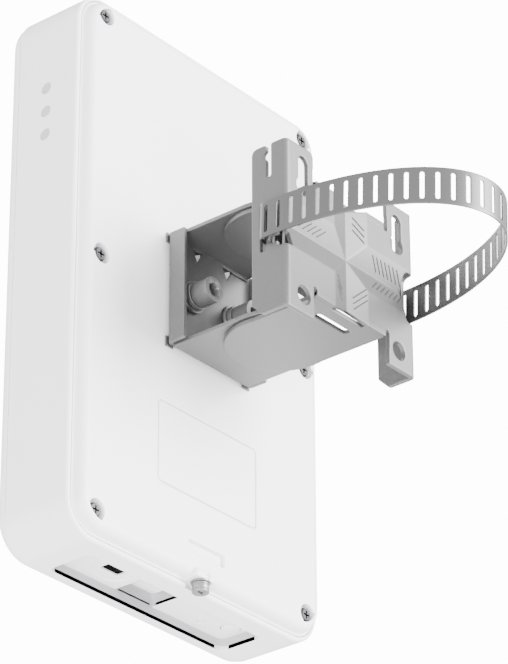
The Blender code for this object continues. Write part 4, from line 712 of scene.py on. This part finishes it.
def build_back_cover():
    """Back cover: a rolled shoulder carried round the edge, the flat with its recesses, screw cups."""
    size = bpy.context.scene.bridge_sizes
    edge, ledge, roll = 2.55, 1.2, size.shoulder
    half_x, half_z, radius = HALF_X - edge, HALF_Z - edge, size.corner - edge
    drop = BACK_Y - RIM_Y
    flat_inset = ledge + roll
    profile = [(0.0, RIM_Y - 2.0), (0.0, RIM_Y - 0.35), (0.12, RIM_Y - 0.1), (0.4, RIM_Y)]
    profile += [(ledge - 0.3, RIM_Y), (ledge - 0.08, RIM_Y + 0.1)]
    turn = np.linspace(0.08, QUARTER, 12)
    profile += [(ledge + roll * (1 - math.cos(t)), RIM_Y + drop * math.sin(t)) for t in turn]
    under = BACK_Y - COVER_SHEET
    profile += [(flat_inset, under), (flat_inset - 1.5, under), (ledge + 1.2, RIM_Y - 2.0)]
    ring = swept(half_x, half_z, radius, profile, (PANEL_X, PANEL_Z), "XZ", True, 18)
    add_piece("cover_shoulder", *ring, "white_plastic", "device", ("back_cover",))
    flat_x, flat_z, flat_r = half_x - flat_inset, half_z - flat_inset, radius - flat_inset
    screws = [(sx * SCREW_X, PANEL_Z + sz * SCREW_Z) for sz in (1, 0, -1) for sx in (1, -1)]
    label = {"half_x": 35.0, "half_z": 21.0, "at": (-1.3, PANEL_Z - 79.6)}
    plate = {"half_x": 12.6, "half_z": 3.1, "at": (-0.9, PANEL_Z - 125.0)}

    def outline(x, z):
        return without(box_edge(x, z, flat_x, flat_z, flat_r, (PANEL_X, PANEL_Z)),
                       *[disc_edge(x, z, SCREW_WELL, spot) for spot in screws],
                       box_edge(x, z, label["half_x"], label["half_z"], 2.5, label["at"]),
                       box_edge(x, z, plate["half_x"], plate["half_z"], 0.8, plate["at"]))

    x_lines = lines((-flat_x - 0.4, -66, 0.75), (-66, -37.5, 5), (-37.5, -33, 0.75), (-33, -14.5, 3),
                    (-14.5, -11, 0.75), (-11, 9.5, 3), (9.5, 13, 0.75), (13, 32, 3), (32, 35.5, 0.75),
                    (35.5, 66, 5), (66, flat_x + 0.4, 0.75))
    z_lines = PANEL_Z + lines((-flat_z - 0.4, -119.5, 0.75), (-119.5, -102, 3), (-102, -97.5, 0.75),
                              (-97.5, -61.5, 5), (-61.5, -57, 0.75), (-57, -7, 6), (-7, 7, 0.75),
                              (7, 121, 8), (121, flat_z + 0.4, 0.75))
    flat = cut_sheet(x_lines, z_lines, upright_at(BACK_Y), outline, COVER_SHEET, 0.3)
    cup = [(radius, BACK_Y - below) for radius, below in
           ((SCREW_WELL, 2.2), (SCREW_WELL, 3.4), (4.8, 3.75), (2.2, 3.75),
            (2.2, 4.7), (6.4, 4.7), (6.4, 2.2))]
    cups = [turned(cup, (x, 0, z), (0, 1, 0), 56) for x, z in screws]
    floors = [swept(r["half_x"] + 0.5, r["half_z"] + 0.5, 2.0,
                    [(0.0, BACK_Y - deep - 1.0), (0.0, BACK_Y - deep)], r["at"], "XZ", False, 6)
              for r, deep in ((label, 1.2), (plate, 2.0))]
    add_piece("cover_flat", *flat, "white_plastic", "device")
    add_piece("cover_recesses", *gather(*cups, *floors), "white_plastic", "device")
    sticker = swept(label["half_x"] - 0.75, label["half_z"] - 0.75, 2.0,
                    [(0.0, BACK_Y - 1.1), (0.0, BACK_Y - 0.2), (0.15, BACK_Y - 0.06)],
                    label["at"], "XZ", False, 6)
    add_piece("blank_label", *sticker, "label_film", "device", ("label",))
    tab = swept(6.6, 4.2, 1.4, [(0.5, LOWER_FACE + 3.4), (0.12, LOWER_FACE + 3.55), (0.0, LOWER_FACE + 4.0),
                                (0.0, LOWER_FACE + 6.9), (0.4, LOWER_FACE + 7.5)],
                (TAB_X, TAB_Y - 0.5), "XY", False, 8)
    add_piece("ground_tab", *tab, "white_plastic", "device")
    build_ground_sign()


def build_ground_sign():
    """Ground sign on the tab: a stem over three bars that get shorter, as one thin inked sheet."""
    x0, z0, y0 = TAB_X - 1.6, LOWER_FACE + 5.4, TAB_Y - 0.5 + 4.2

    def outline(x, z):
        stem = stroke_edge(x, z, (x0, z0 + 1.8), (x0, z0 + 0.2), 0.18)
        bars = [stroke_edge(x, z, (x0 - w, z0 - k), (x0 + w, z0 - k), 0.16)
                for k, w in ((-0.1, 1.5), (0.65, 0.95), (1.4, 0.4))]
        return joined(stem, *bars)

    u, v = lines((x0 - 2.4, x0 + 2.4, PRINT_STEP)), lines((z0 - 2.2, z0 + 2.4, PRINT_STEP))
    sheet = cut_sheet(u, v, upright_at(y0 + 0.05), outline, 0.12, 0.01)
    add_piece("ground_sign", *sheet, "label_film", "device", finish="ink")


def crossed_head(centre, radius, thick, cross):
    """Face of a cross-recess screw looking down: a disc sheet with two crossed bars left out of it."""
    x, y, z = centre
    u, v = (lines((middle - radius - 0.3, middle + radius + 0.3, 0.28)) for middle in (x, y))

    def outline(p, q):
        bars = joined(stroke_edge(p, q, (x - cross, y - cross * 0.3), (x + cross, y + cross * 0.3), 0.42),
                      stroke_edge(p, q, (x + cross * 0.3, y - cross), (x - cross * 0.3, y + cross), 0.42))
        return without(disc_edge(p, q, radius, (x, y)), bars)

    return cut_sheet(u, v, level_at(z), outline, thick, 0.45)


def build_ground_terminal():
    """Ground screw under the tab, through a split washer and a flat washer."""
    x, y = TAB_X, TAB_Y
    flat_low, flat_high = (corner[2] for corner in node_box("ground_flat_washer"))
    lock_low, lock_high = (corner[2] for corner in node_box("ground_lock_washer"))
    head = node_box("ground_screw")[0][2]
    flat = turned(ring_profile(2.2, 4.6, flat_low, flat_high, 0.2), (x, y, 0), (0, 0, 1))
    lock = turned(ring_profile(2.2, 4.1, lock_low, lock_high, 0.2), (x, y, 0), (0, 0, 1))
    shank_end = flat_high + 2.5
    shank = turned([(0, lock_low), (2.0, lock_low), (2.0, shank_end), (0, shank_end)],
                   (x, y, 0), (0, 0, 1), 32)
    stem = turned(softened([(0, head + 1.3), (4.0, head + 1.3), (4.0, lock_low - 0.05), (0, lock_low - 0.05)],
                           0.25), (x, y, 0), (0, 0, 1))
    add_piece("ground_plain_washer", *flat, "zinc_steel", "device", ("ground_flat_washer",))
    add_piece("ground_split_washer", *lock, "zinc_steel", "device", ("ground_lock_washer",))
    add_piece("ground_screw_head", *gather(stem, shank, crossed_head((x, y, head), 4.0, 1.35, 2.0)),
              "zinc_steel", "device", ("ground_screw",))


def build_status_lights():
    """Status windows sunk in the side wall, and the small signs printed below each."""
    inner = HALF_X - 2.2
    window = softened([(0, inner), (3.0, inner), (3.0, HALF_X - 0.5), (0, HALF_X - 0.8)], 0.25)
    windows = [turned(window, (0, LIGHT_Y, z), (1, 0, 0), 40) for z in LIGHTS_Z]
    add_piece("status_windows", *gather(*windows), "grey_lens", "device", finish="grey_lens")
    signs = []

    def side_wall(y, w):
        return np.stack([np.full_like(y, HALF_X + PANEL_X - 0.02), y, w], -1)

    for k, z in enumerate(LIGHTS_Z):
        z0 = z - 6.0

        def outline(y, w, k=k, z0=z0):
            y = y - LIGHT_Y
            w = w - z0
            if k == 0:
                return joined(stroke_edge(y, w, (-1.3, -0.9), (1.3, -0.9), 0.16),
                              stroke_edge(y, w, (-1.3, -0.9), (-1.3, 0.2), 0.16))
            if k == 1:
                ring = np.abs(disc_edge(y, w, 1.0)) - 0.17
                return joined(ring, disc_edge(y, w, 0.3))
            ring = np.maximum(np.abs(disc_edge(y, w, 1.35)) - 0.17, np.where(w > 0.3, 0.6 - np.abs(y), -1))
            return joined(ring, stroke_edge(y, w, (0, 0.3), (0, 1.6), 0.17))

        u = lines((LIGHT_Y - 2, LIGHT_Y + 2, PRINT_STEP))
        v = lines((z0 - 2.2, z0 + 2.2, PRINT_STEP))
        signs.append(cut_sheet(u, v, side_wall, outline, -0.08, 0.01))
    add_piece("status_signs", *gather(*signs), "label_film", "device", finish="ink")


# ---------------------------------------------------------------- device bracket

def build_device_bracket():
    """Folded tray: a base with two side lips, and two flanges that end round at the pivot."""
    size = bpy.context.scene.bridge_sizes
    sheet, bend = size.tray_sheet, 2.2
    back, half = TRAY_LOW[1], TRAY_HALF
    flat = half - bend
    lip_end = flat + bend * QUARTER + (10.4 - bend)
    mark_x, screw_x, flange_half = 10.8, 15, 26.7

    def place(u, v):
        along, away = folded(u, flat, bend)
        return np.stack([along, back + away, v], -1)

    def outline(u, v):
        w = v - TRAY_Z
        base = joined(box_edge(u, w, lip_end, half - 0.8, 0.8), box_edge(u, w, 27.4, flat + 0.2))
        marks = [np.maximum.reduce([np.abs(u - x) * 0.866 - (w - 21.1) * 0.5, (w - 27.0)])
                 for x in (mark_x, -mark_x)]
        slit = stroke_edge(u, w, (-13, 26.2), (-26, 26.2), 0.35)
        screws = [disc_edge(u, w, 4.4, (x, 0)) for x in (screw_x, -screw_x)]
        return without(base, slit, *marks, *screws)

    u = lines((-lip_end - 0.5, lip_end + 0.5, 0.6))
    v = TRAY_Z + lines((-half - 0.3, half + 0.3, 0.6))
    base = cut_sheet(u, v, place, outline, -sheet, 0.3)
    add_piece("tray_base", *base, "grey_powder_coat", "device", ("device_bracket",))
    near, far, span = back - 0.02, back + sheet - 0.5, 4.6
    marks = [turned([(0, near), (span, near), (span, far), (0, far)], (x, 0, TRAY_Z + 22.6), (0, 1, 0), 3)
             for x in (mark_x, -mark_x)]
    add_piece("tray_marks", *gather(*marks), "label_film", "device", finish="pale_mark")
    for name, side in (("top", 1), ("bottom", -1)):
        run = PIVOT_Y - back
        pivot_s = flat + bend * QUARTER + (run - bend)

        def flange_place(x, s, side=side):
            along, away = folded(s, flat, bend)
            return np.stack([x, back + away - 0.02, TRAY_Z + side * (along + 0.02)], -1)

        def flange_edge(x, s):
            wide = box_edge(x, s, flange_half, 9, 1.0, (0, flat + 8.6))
            strip = box_edge(x, s, flange_half, (pivot_s - flat) / 2, 0.4, (0, (pivot_s + flat) / 2))
            return without(joined(wide, strip, disc_edge(x, s, flange_half, (0, pivot_s))),
                           disc_edge(x, s, 4.2, (0, pivot_s)))

        u = lines((-27.5, 27.5, 0.65))
        v = lines((flat - 0.8, pivot_s + 26.5, 0.65))
        add_piece(f"tray_flange_{name}", *cut_sheet(u, v, flange_place, flange_edge, -sheet * side, 0.3),
                  "grey_powder_coat", "device")


def socket_head(centre, head, radius, across_flats):
    """Socket-head screw: a turned shank and head; the rows of its socket keep a hexagon, whose radius is
    half the width across flats over the cosine of the angle from the nearest flat."""
    hexagon = across_flats / 2
    profile = softened([(0, -15.0), (4.0, -15.0), (4.0, 0), (radius, 0), (radius, head)], 0.3, 3).tolist()
    rim = [(radius - 0.12, head), (radius - 0.7, head), (hexagon + 0.75, head)]
    inside = [(hexagon, head - 0.45), (hexagon, head - 4.2), (0.0, head - 5.6)]
    rows = profile + rim + inside
    first = len(profile) + len(rim)

    def shape(angle, row):
        near = np.mod(angle + math.pi / 6, math.pi / 3) - math.pi / 6
        return np.where(row >= first, 1 / np.cos(near), 1.0)

    return turned(rows, centre, (0, 1, 0), 96, shape)


def ring_profile(inner, outer, low, high, soft=0.2):
    return softened([(inner, low), (outer, low), (outer, high), (inner, high)], soft, 3, True)


def build_tray_screws():
    """Two socket-head screws, each over a spring washer and a flat washer."""
    head = 9.2
    for name, x in (("left", 15.0), ("right", -15.0)):
        low, high = node_box(f"cap_screw_{name}")
        flat_low, flat_high = node_box(f"flat_washer_{name}")
        spring_low, spring_high = node_box(f"spring_washer_{name}")
        z = (low[2] + high[2]) / 2
        screw = socket_head((x, high[1] - head, z), head, 6.3, 6.2)
        add_piece(f"socket_screw_{name}", *screw, "zinc_steel", "device", (f"cap_screw_{name}",))
        washer = turned(ring_profile(4.3, 8.0, flat_low[1], flat_high[1], 0.3), (x, 0, z), (0, 1, 0))
        add_piece(f"plain_washer_{name}", *washer, "zinc_steel", "device", (f"flat_washer_{name}",))
        spring = split_ring(4.4, 7.0, spring_low[1] + 0.05, spring_high[1] - 0.05, (x, z))
        add_piece(f"split_washer_{name}", *spring, "zinc_steel", "device", (f"spring_washer_{name}",))


def split_ring(inner, outer, low, high, centre):
    """Spring washer: a square section carried most of the way round a circle, its ends capped."""
    angle = np.radians(np.linspace(96, 444, 70))
    section = np.array([(inner, low), (outer - 0.2, low), (outer, low + 0.2), (outer, high - 0.2),
                        (outer - 0.2, high), (inner, high)])
    middle = section.mean(0)
    radius = np.tile(section[:, 0], (len(angle), 1))
    height = np.tile(section[:, 1], (len(angle), 1))
    radius = np.concatenate([radius[:1] * 0 + middle[0], radius, radius[-1:] * 0 + middle[0]])
    height = np.concatenate([height[:1] * 0 + middle[1], height, height[-1:] * 0 + middle[1]])
    angle = np.concatenate([angle[:1], angle, angle[-1:]])[:, None]
    points = np.stack([centre[0] + radius * np.cos(angle), height, centre[1] + radius * np.sin(angle)], -1)
    return points, grid_faces(points.shape[0], points.shape[1], False, True)


# ---------------------------------------------------------------- pole bracket

GROOVE_HALF = 11.9


def groove_sink(x, z):
    """Depth of the crossed V grooves: each falls evenly to its middle line, and the deeper one counts."""
    depth = bpy.context.scene.bridge_sizes.groove
    return depth * np.maximum(1 - np.minimum(np.abs(x), np.abs(z)) / GROOVE_HALF, 0)


def build_pole_bracket():
    """Folded plate: grooved front, side flanges with ears and feet; the tongues are bent from it."""
    size = bpy.context.scene.bridge_sizes
    sheet, bend = size.plate_sheet, 2.6
    flat = PLATE_HIGH[0] - bend
    arc = bend * QUARTER
    rear = flat + arc + (20.4 - bend)
    reach = PLATE_HIGH[2] - 0.1
    plate_half, ear_start, valley_half = 30.2, 27.2, 11.4
    key, foot_hole = (34.7, 22.4), (34.6, -33.9)
    tongue_bend, tongue_round = 2.5, 25.6

    def place(u, v):
        along, away = folded(u, flat, bend)
        fade = np.clip((flat - np.abs(u)) / 1.5 + 1, 0, 1)
        return np.stack([along, -away - groove_sink(along, v) * fade, v], -1)

    def flange_s(y):
        return flat + arc + (-y - bend)

    def outline(u, v):
        side = np.abs(u)
        plate = box_edge(u, v, rear, plate_half)
        wing_mid, wing_half = (rear + ear_start) / 2, (rear - ear_start) / 2
        wing = box_edge(side, v, wing_half, reach, 3.2, (wing_mid, 0))
        foot = box_edge(side, v, wing_half, reach / 2, 0.8, (wing_mid, -reach / 2))
        body = joined(plate, wing, foot)
        heel = ((side - rear) + (-v - reach) + 5.6) * 0.7071
        relief = box_edge(side, np.abs(v), 1.2, 4.6, 1.1, (26.3, 31.0))
        valley = np.where(side < valley_half, np.abs(v) - 26.4 - 3.4 * side / valley_half, -50)
        keyhole = joined(disc_edge(side, v, 4.7, key),
                         stroke_edge(side, v, key, (key[0], 35.0), 3.3))
        hole = disc_edge(side, v, 4.6, foot_hole)
        slot = box_edge(side, v, 1.8, 12.5, 1.2, (flange_s(-13.75), 0.4))
        hook = joined(box_edge(side, v, 1.4, 10.4, 1.2, (flange_s(-10.4), 36.4)),
                      disc_edge(side, v, 2.3, (flange_s(-10.4) + 0.8, 38.0)))
        window = box_edge(u, v, 4.6, 4.2, 1.0, (flat + 2.6, -7.7))
        bite = disc_edge(u, v, 2.3, (flange_s(-8.2), -7.2))
        notch = box_edge(u, v, 5.6, 13.4, 3.0, (-flat - 1.6, -2.4))
        return np.maximum(without(body, relief, keyhole, hole, slot, hook, window, bite, notch),
                          np.maximum(heel, valley))

    u = lines((-rear - 0.6, rear + 0.6, 0.62))
    v = lines((-reach - 0.6, reach + 0.6, 0.62))
    plate = cut_sheet(u, v, place, outline, sheet, 0.35)
    add_piece("pole_plate", *plate, "grey_powder_coat", "bracket", ("pole_bracket",))
    flat_z = TONGUE_OUT - tongue_bend
    for name, side in (("top", 1), ("bottom", -1)):
        pivot_s = flat_z + tongue_bend * QUARTER + (-PIVOT_Y - tongue_bend)

        def tongue_place(x, s, side=side):
            along, away = folded(s, flat_z, tongue_bend)
            return np.stack([x, -away + 0.02, side * (along - 0.02)], -1)

        def tongue_edge(x, s):
            slit_s = pivot_s + PIVOT_Y + 11.8
            return without(joined(box_edge(x, s, 25.1, (pivot_s - flat_z + 1) / 2, 0.3,
                                           (0, (pivot_s + flat_z - 1) / 2)),
                                  disc_edge(x, s, tongue_round, (0, pivot_s))),
                           stroke_edge(x, s, (-9.9, slit_s), (9.9, slit_s), 1.8),
                           np.maximum(np.abs(x) - valley_half, s - (flat_z + 5.2)))

        u2, v2 = lines((-26.4, 26.4, 0.65)), lines((flat_z - 1.4, pivot_s + 26.4, 0.65))
        add_piece(f"pivot_tongue_{name}", *cut_sheet(u2, v2, tongue_place, tongue_edge, sheet * side, 0.3),
                  "grey_powder_coat", "bracket")
    # The grip ticks take the darkened coat: painted shade along the small ridges.
    add_piece("grip_marks", *grip_marks(), "grey_powder_coat", "bracket", finish="painted_shade_coat")


def grip_marks():
    """Raised ticks pressed into the grooves' faces: thin round bars, each between two points (x, z)."""
    rows = (((35.3, 2.5), (30.3, 6.9), (-3.3, 0.0), 5), ((-3.8, 24.3), (-10.4, 19.2), (0.0, -3.3), 3),
            ((-16.8, 9.4), (-21.4, 2.8), (-3.0, 0.0), 7), ((-17.1, -7.3), (-21.7, -2.7), (-3.1, 0.0), 7),
            ((-3.5, -18.5), (-11.0, -11.6), (-0.3, -2.8), 3), ((5.0, -18.0), (9.0, -12.0), (0.0, -2.8), 3))
    ticks = []
    for first, last, step, count in rows:
        for k in range(count):
            ends = [(p[0] + step[0] * k, p[1] + step[1] * k) for p in (first, last)]
            ends = [(x, float(-groove_sink(np.float64(x), np.float64(z))) + 0.02, z) for x, z in ends]
            ticks.append(bar(*ends, 0.3, 8))
    return gather(*ticks)


def build_pivots():
    """Headed pivot pins; each ends inside its tongue."""
    for name in ("top", "bottom"):
        low, high = node_box(f"pivot_pin_{name}")
        profile = softened([(0, low[2] + 1.2), (3.85, low[2] + 1.2), (3.85, high[2] - 2), (7, high[2] - 2),
                            (7, high[2]), (0, high[2])], 0.6)
        add_piece(f"pivot_{name}", *turned(profile, (0, PIVOT_Y, 0), (0, 0, 1)), "zinc_steel", "bracket",
                  (f"pivot_pin_{name}",))


# ---------------------------------------------------------------- band clamp

def build_band():
    """Slotted band: a strip whose middle line crosses inside the bracket, turns out through the slots
    and follows x = side cos t, y = start + reach sin t round the pole; z rises evenly with x."""
    size = bpy.context.scene.bridge_sizes
    thick, y_in, bend, lap = 0.8, -13.75, 2.9, 0.55
    side = BAND_HIGH[0] - 0.9
    corner_x, start = side - bend, y_in + bend
    far = BAND_HIGH[1] - 0.85
    turn = np.linspace(0, QUARTER, 8)
    sweep = np.linspace(0, math.pi, 200)[1:-1]
    first = np.array([(-9.4, y_in + lap), (12.6, y_in + lap), (22.0, y_in), (corner_x, y_in)])
    out = np.stack([corner_x + bend * np.sin(turn), start - bend * np.cos(turn)], -1)[1:]
    loop = np.stack([side * np.cos(sweep), start + (far - start) * np.sin(sweep)], -1)
    back = out[::-1] * (-1, 1)
    last = np.array([(-corner_x, y_in), (-22.0, y_in), (-12.6, y_in - lap), (22.0, y_in - lap)])
    path = np.concatenate([first, out, loop, back, last])
    length = np.concatenate([[0], np.cumsum(np.hypot(*np.diff(path, axis=0).T))])
    total, tilt = length[-1], BAND_TILT

    def place(s, w):
        x, y = np.interp(s, length, path[:, 0]), np.interp(s, length, path[:, 1])
        return np.stack([x * math.cos(tilt) - w * math.sin(tilt), y,
                         x * math.sin(tilt) + w * math.cos(tilt)], -1)

    pitch, slot_half, slot_radius = size.slot_pitch, 6.2, 0.98
    middle = total / 2

    def outline(s, w):
        near = np.mod(s - middle + pitch / 2, pitch) - pitch / 2
        slot = stroke_edge(near, w, (0, -slot_half), (0, slot_half), slot_radius)
        slot = np.where(np.abs(s - middle) < total / 2 - 6, slot, 20)
        return without(box_edge(s, w, total / 2, 9.5, 2.0, (middle, 0)), slot)

    u, v = lines((-0.6, total + 0.6, 0.5)), lines((-9.8, 9.8, 0.6))
    add_piece("slotted_band", *cut_sheet(u, v, place, outline, thick, 0.12), "stainless_band", "bracket",
              ("band_strap",), sharp=55)


def build_worm():
    """Worm: a turned core with a thread whose crest winds round it, and a round head."""
    low, high = node_box("worm_screw")
    axis = np.array([math.cos(BAND_TILT), 0, math.sin(BAND_TILT)])
    y = (low[1] + high[1]) / 2
    run = np.linspace(-11.0, 11.0, 177)
    count, lead, root, crest = 40, 2.2, 3.1, 0.95
    angle = np.linspace(0, 2 * math.pi, count, endpoint=False)
    wave = np.abs(np.mod(run[None, :] / lead + angle[:, None] / (2 * math.pi), 1) * 2 - 1)
    body = root + crest * wave
    heights = np.concatenate([[-17.0, -17.0, -16.6, -11.4, -11.4, -11.3], run, [11.3, 11.5, 12.3, 12.3]])
    ends = np.ones((count, 1))
    radius = np.concatenate([0 * ends, 4.6 * ends, 5.1 * ends, 5.1 * ends, 3.2 * ends, root * ends, body,
                             root * ends, 5.0 * ends, 5.0 * ends, 0 * ends], 1)
    across = np.array([-axis[2], 0, axis[0]])
    up = np.array([0.0, 1.0, 0.0])
    points = ((radius * np.cos(angle)[:, None])[..., None] * across +
              (radius * np.sin(angle)[:, None])[..., None] * up + heights[None, :, None] * axis)
    points[..., 1] += y
    add_piece("worm", points, grid_faces(count, len(heights), True, False), "zinc_steel", "worm",
              ("worm_screw",))


# ---------------------------------------------------------------- stage

def build_stage():
    """Pale floor well below, even white surroundings, a large soft key light and the camera."""
    scene = bpy.context.scene
    across = np.linspace(-FLOOR_HALF, FLOOR_HALF, 5)
    points = level_at(FLOOR_Z)(*np.meshgrid(across, across, indexing="ij"))
    mesh = bpy.data.meshes.new("floor")
    mesh.from_pydata(points.reshape(-1, 3).tolist(), [], grid_faces(5, 5).tolist())
    mesh.materials.append(plain_finish("floor_paint", (0.85, 0.85, 0.86), 0.8))
    floor = bpy.data.objects.new("floor", mesh)
    scene.collection.objects.link(floor)
    world = bpy.data.worlds.new("studio")
    world.use_nodes = True
    world.node_tree.nodes["Background"].inputs["Color"].default_value = (1, 1, 1, 1)
    world.node_tree.nodes["Background"].inputs["Strength"].default_value = SURROUND_STRENGTH
    scene.world = world
    for name, spot, aim, energy, size in (("key", (-0.9, 2.2, 0.5), (0, -0.05, 0), 290, 1.6),
                                          ("fill", (2.1, 0.7, -1.2), (0, -0.08, 0), 120, 1.2)):
        data = bpy.data.lights.new(name, "AREA")
        data.energy, data.size = energy, size
        light = bpy.data.objects.new(name, data)
        light.location = spot
        light.rotation_euler = (Vector(aim) - Vector(spot)).to_track_quat("-Z", "Y").to_euler()
        scene.collection.objects.link(light)
    card = bpy.data.meshes.new("card")
    away = np.array(CARD_AT)
    side = np.array([-0.638, 0.77, 0.0]) * CARD_HALF
    rise = np.array([0.369, 0.306, 0.878]) * CARD_HALF
    corners = [away + a * side + b * rise for a, b in ((-1, -1), (1, -1), (1, 1), (-1, 1))]
    card.from_pydata([corner.tolist() for corner in corners], [], [(0, 1, 2, 3)])
    glow = Finish("card_glow", (0, 0, 0), 1.0)
    glow.shader.inputs["Emission Color"].default_value = (1, 1, 1, 1)
    glow.shader.inputs["Emission Strength"].default_value = CARD_STRENGTH
    card.materials.append(glow.material)
    backdrop = bpy.data.objects.new("card", card)
    scene.collection.objects.link(backdrop)
    azimuth, elevation, roll = (math.radians(v) for v in CAMERA_ANGLES)
    back = Vector((math.sin(azimuth) * math.cos(elevation), -math.cos(azimuth) * math.cos(elevation),
                   math.sin(elevation)))
    right = Vector((math.cos(azimuth), math.sin(azimuth), 0))
    up = back.cross(right)
    turn = Matrix((right, up, back)).transposed().to_4x4()
    data = bpy.data.cameras.new("camera")
    data.lens = CAMERA_LENS
    data.clip_end = 50
    camera = bpy.data.objects.new("camera", data)
    camera.matrix_world = Matrix.Translation(CAMERA_AT) @ turn @ Matrix.Rotation(-roll, 4, "Z")
    scene.collection.objects.link(camera)
    scene.camera = camera


# ---------------------------------------------------------------- add-on

class BRIDGE_OT_finishes(bpy.types.Operator):
    """Make the finishes and give them to the CAD part"""
    bl_idname = "bridge.finishes"
    bl_label = "Finishes"

    def execute(self, context):
        paint_cad()
        return {"FINISHED"}


class BRIDGE_OT_radome(bpy.types.Operator):
    """Build the radome"""
    bl_idname = "bridge.radome"
    bl_label = "Radome"

    def execute(self, context):
        build_radome()
        return {"FINISHED"}


class BRIDGE_OT_housing(bpy.types.Operator):
    """Build the side walls and the port bay"""
    bl_idname = "bridge.housing"
    bl_label = "Housing and port bay"

    def execute(self, context):
        build_housing()
        build_port_bay()
        return {"FINISHED"}


class BRIDGE_OT_reset_button(bpy.types.Operator):
    """Build the reset plunger"""
    bl_idname = "bridge.reset_button"
    bl_label = "Reset button"

    def execute(self, context):
        build_reset_button()
        return {"FINISHED"}


class BRIDGE_OT_back_cover(bpy.types.Operator):
    """Build the back cover, its label and the ground tab"""
    bl_idname = "bridge.back_cover"
    bl_label = "Back cover"

    def execute(self, context):
        build_back_cover()
        return {"FINISHED"}


class BRIDGE_OT_ground_terminal(bpy.types.Operator):
    """Build the ground screw and its washers"""
    bl_idname = "bridge.ground_terminal"
    bl_label = "Ground terminal"

    def execute(self, context):
        build_ground_terminal()
        return {"FINISHED"}


class BRIDGE_OT_status_lights(bpy.types.Operator):
    """Build the status windows and their signs"""
    bl_idname = "bridge.status_lights"
    bl_label = "Status lights"

    def execute(self, context):
        build_status_lights()
        return {"FINISHED"}


class BRIDGE_OT_device_bracket(bpy.types.Operator):
    """Build the device bracket and the screws that hold it"""
    bl_idname = "bridge.device_bracket"
    bl_label = "Device bracket"

    def execute(self, context):
        build_device_bracket()
        build_tray_screws()
        return {"FINISHED"}


class BRIDGE_OT_pole_bracket(bpy.types.Operator):
    """Build the pole bracket and its pivots"""
    bl_idname = "bridge.pole_bracket"
    bl_label = "Pole bracket"

    def execute(self, context):
        build_pole_bracket()
        build_pivots()
        return {"FINISHED"}


class BRIDGE_OT_band(bpy.types.Operator):
    """Build the band and its worm"""
    bl_idname = "bridge.band"
    bl_label = "Band clamp"

    def execute(self, context):
        build_band()
        build_worm()
        return {"FINISHED"}


class BRIDGE_OT_stage(bpy.types.Operator):
    """Set the floor, the lights and the camera"""
    bl_idname = "bridge.stage"
    bl_label = "Stage"

    def execute(self, context):
        build_stage()
        return {"FINISHED"}


STEPS = (BRIDGE_OT_finishes, BRIDGE_OT_radome, BRIDGE_OT_housing, BRIDGE_OT_reset_button,
         BRIDGE_OT_back_cover, BRIDGE_OT_ground_terminal, BRIDGE_OT_status_lights,
         BRIDGE_OT_device_bracket, BRIDGE_OT_pole_bracket, BRIDGE_OT_band, BRIDGE_OT_stage)


class BRIDGE_PT_panel(bpy.types.Panel):
    """Steps, sizes and colours of the bridge"""
    bl_label = "Wireless bridge"
    bl_idname = "BRIDGE_PT_panel"
    bl_space_type = "VIEW_3D"
    bl_region_type = "UI"
    bl_category = "Bridge"

    def draw(self, context):
        for group in (context.scene.bridge_sizes, context.scene.bridge_colours):
            for key in group.bl_rna.properties.keys():
                if key not in ("rna_type", "name"):
                    self.layout.prop(group, key)
        for step in STEPS:
            self.layout.operator(step.bl_idname)


CLASSES = (BridgeSizes, BridgeColours, *STEPS, BRIDGE_PT_panel)


def register():
    for cls in CLASSES:
        bpy.utils.register_class(cls)
    bpy.types.Scene.bridge_sizes = PointerProperty(type=BridgeSizes)
    bpy.types.Scene.bridge_colours = PointerProperty(type=BridgeColours)


def unregister():
    del bpy.types.Scene.bridge_colours
    del bpy.types.Scene.bridge_sizes
    for cls in reversed(CLASSES):
        bpy.utils.unregister_class(cls)


def main():
    register()
    bpy.ops.bridge.finishes()
    bpy.ops.bridge.radome()
    bpy.ops.bridge.housing()
    bpy.ops.bridge.reset_button()
    bpy.ops.bridge.back_cover()
    bpy.ops.bridge.ground_terminal()
    bpy.ops.bridge.status_lights()
    bpy.ops.bridge.device_bracket()
    bpy.ops.bridge.pole_bracket()
    bpy.ops.bridge.band()
    bpy.ops.bridge.stage()


if __name__ == "__main__":
    main()
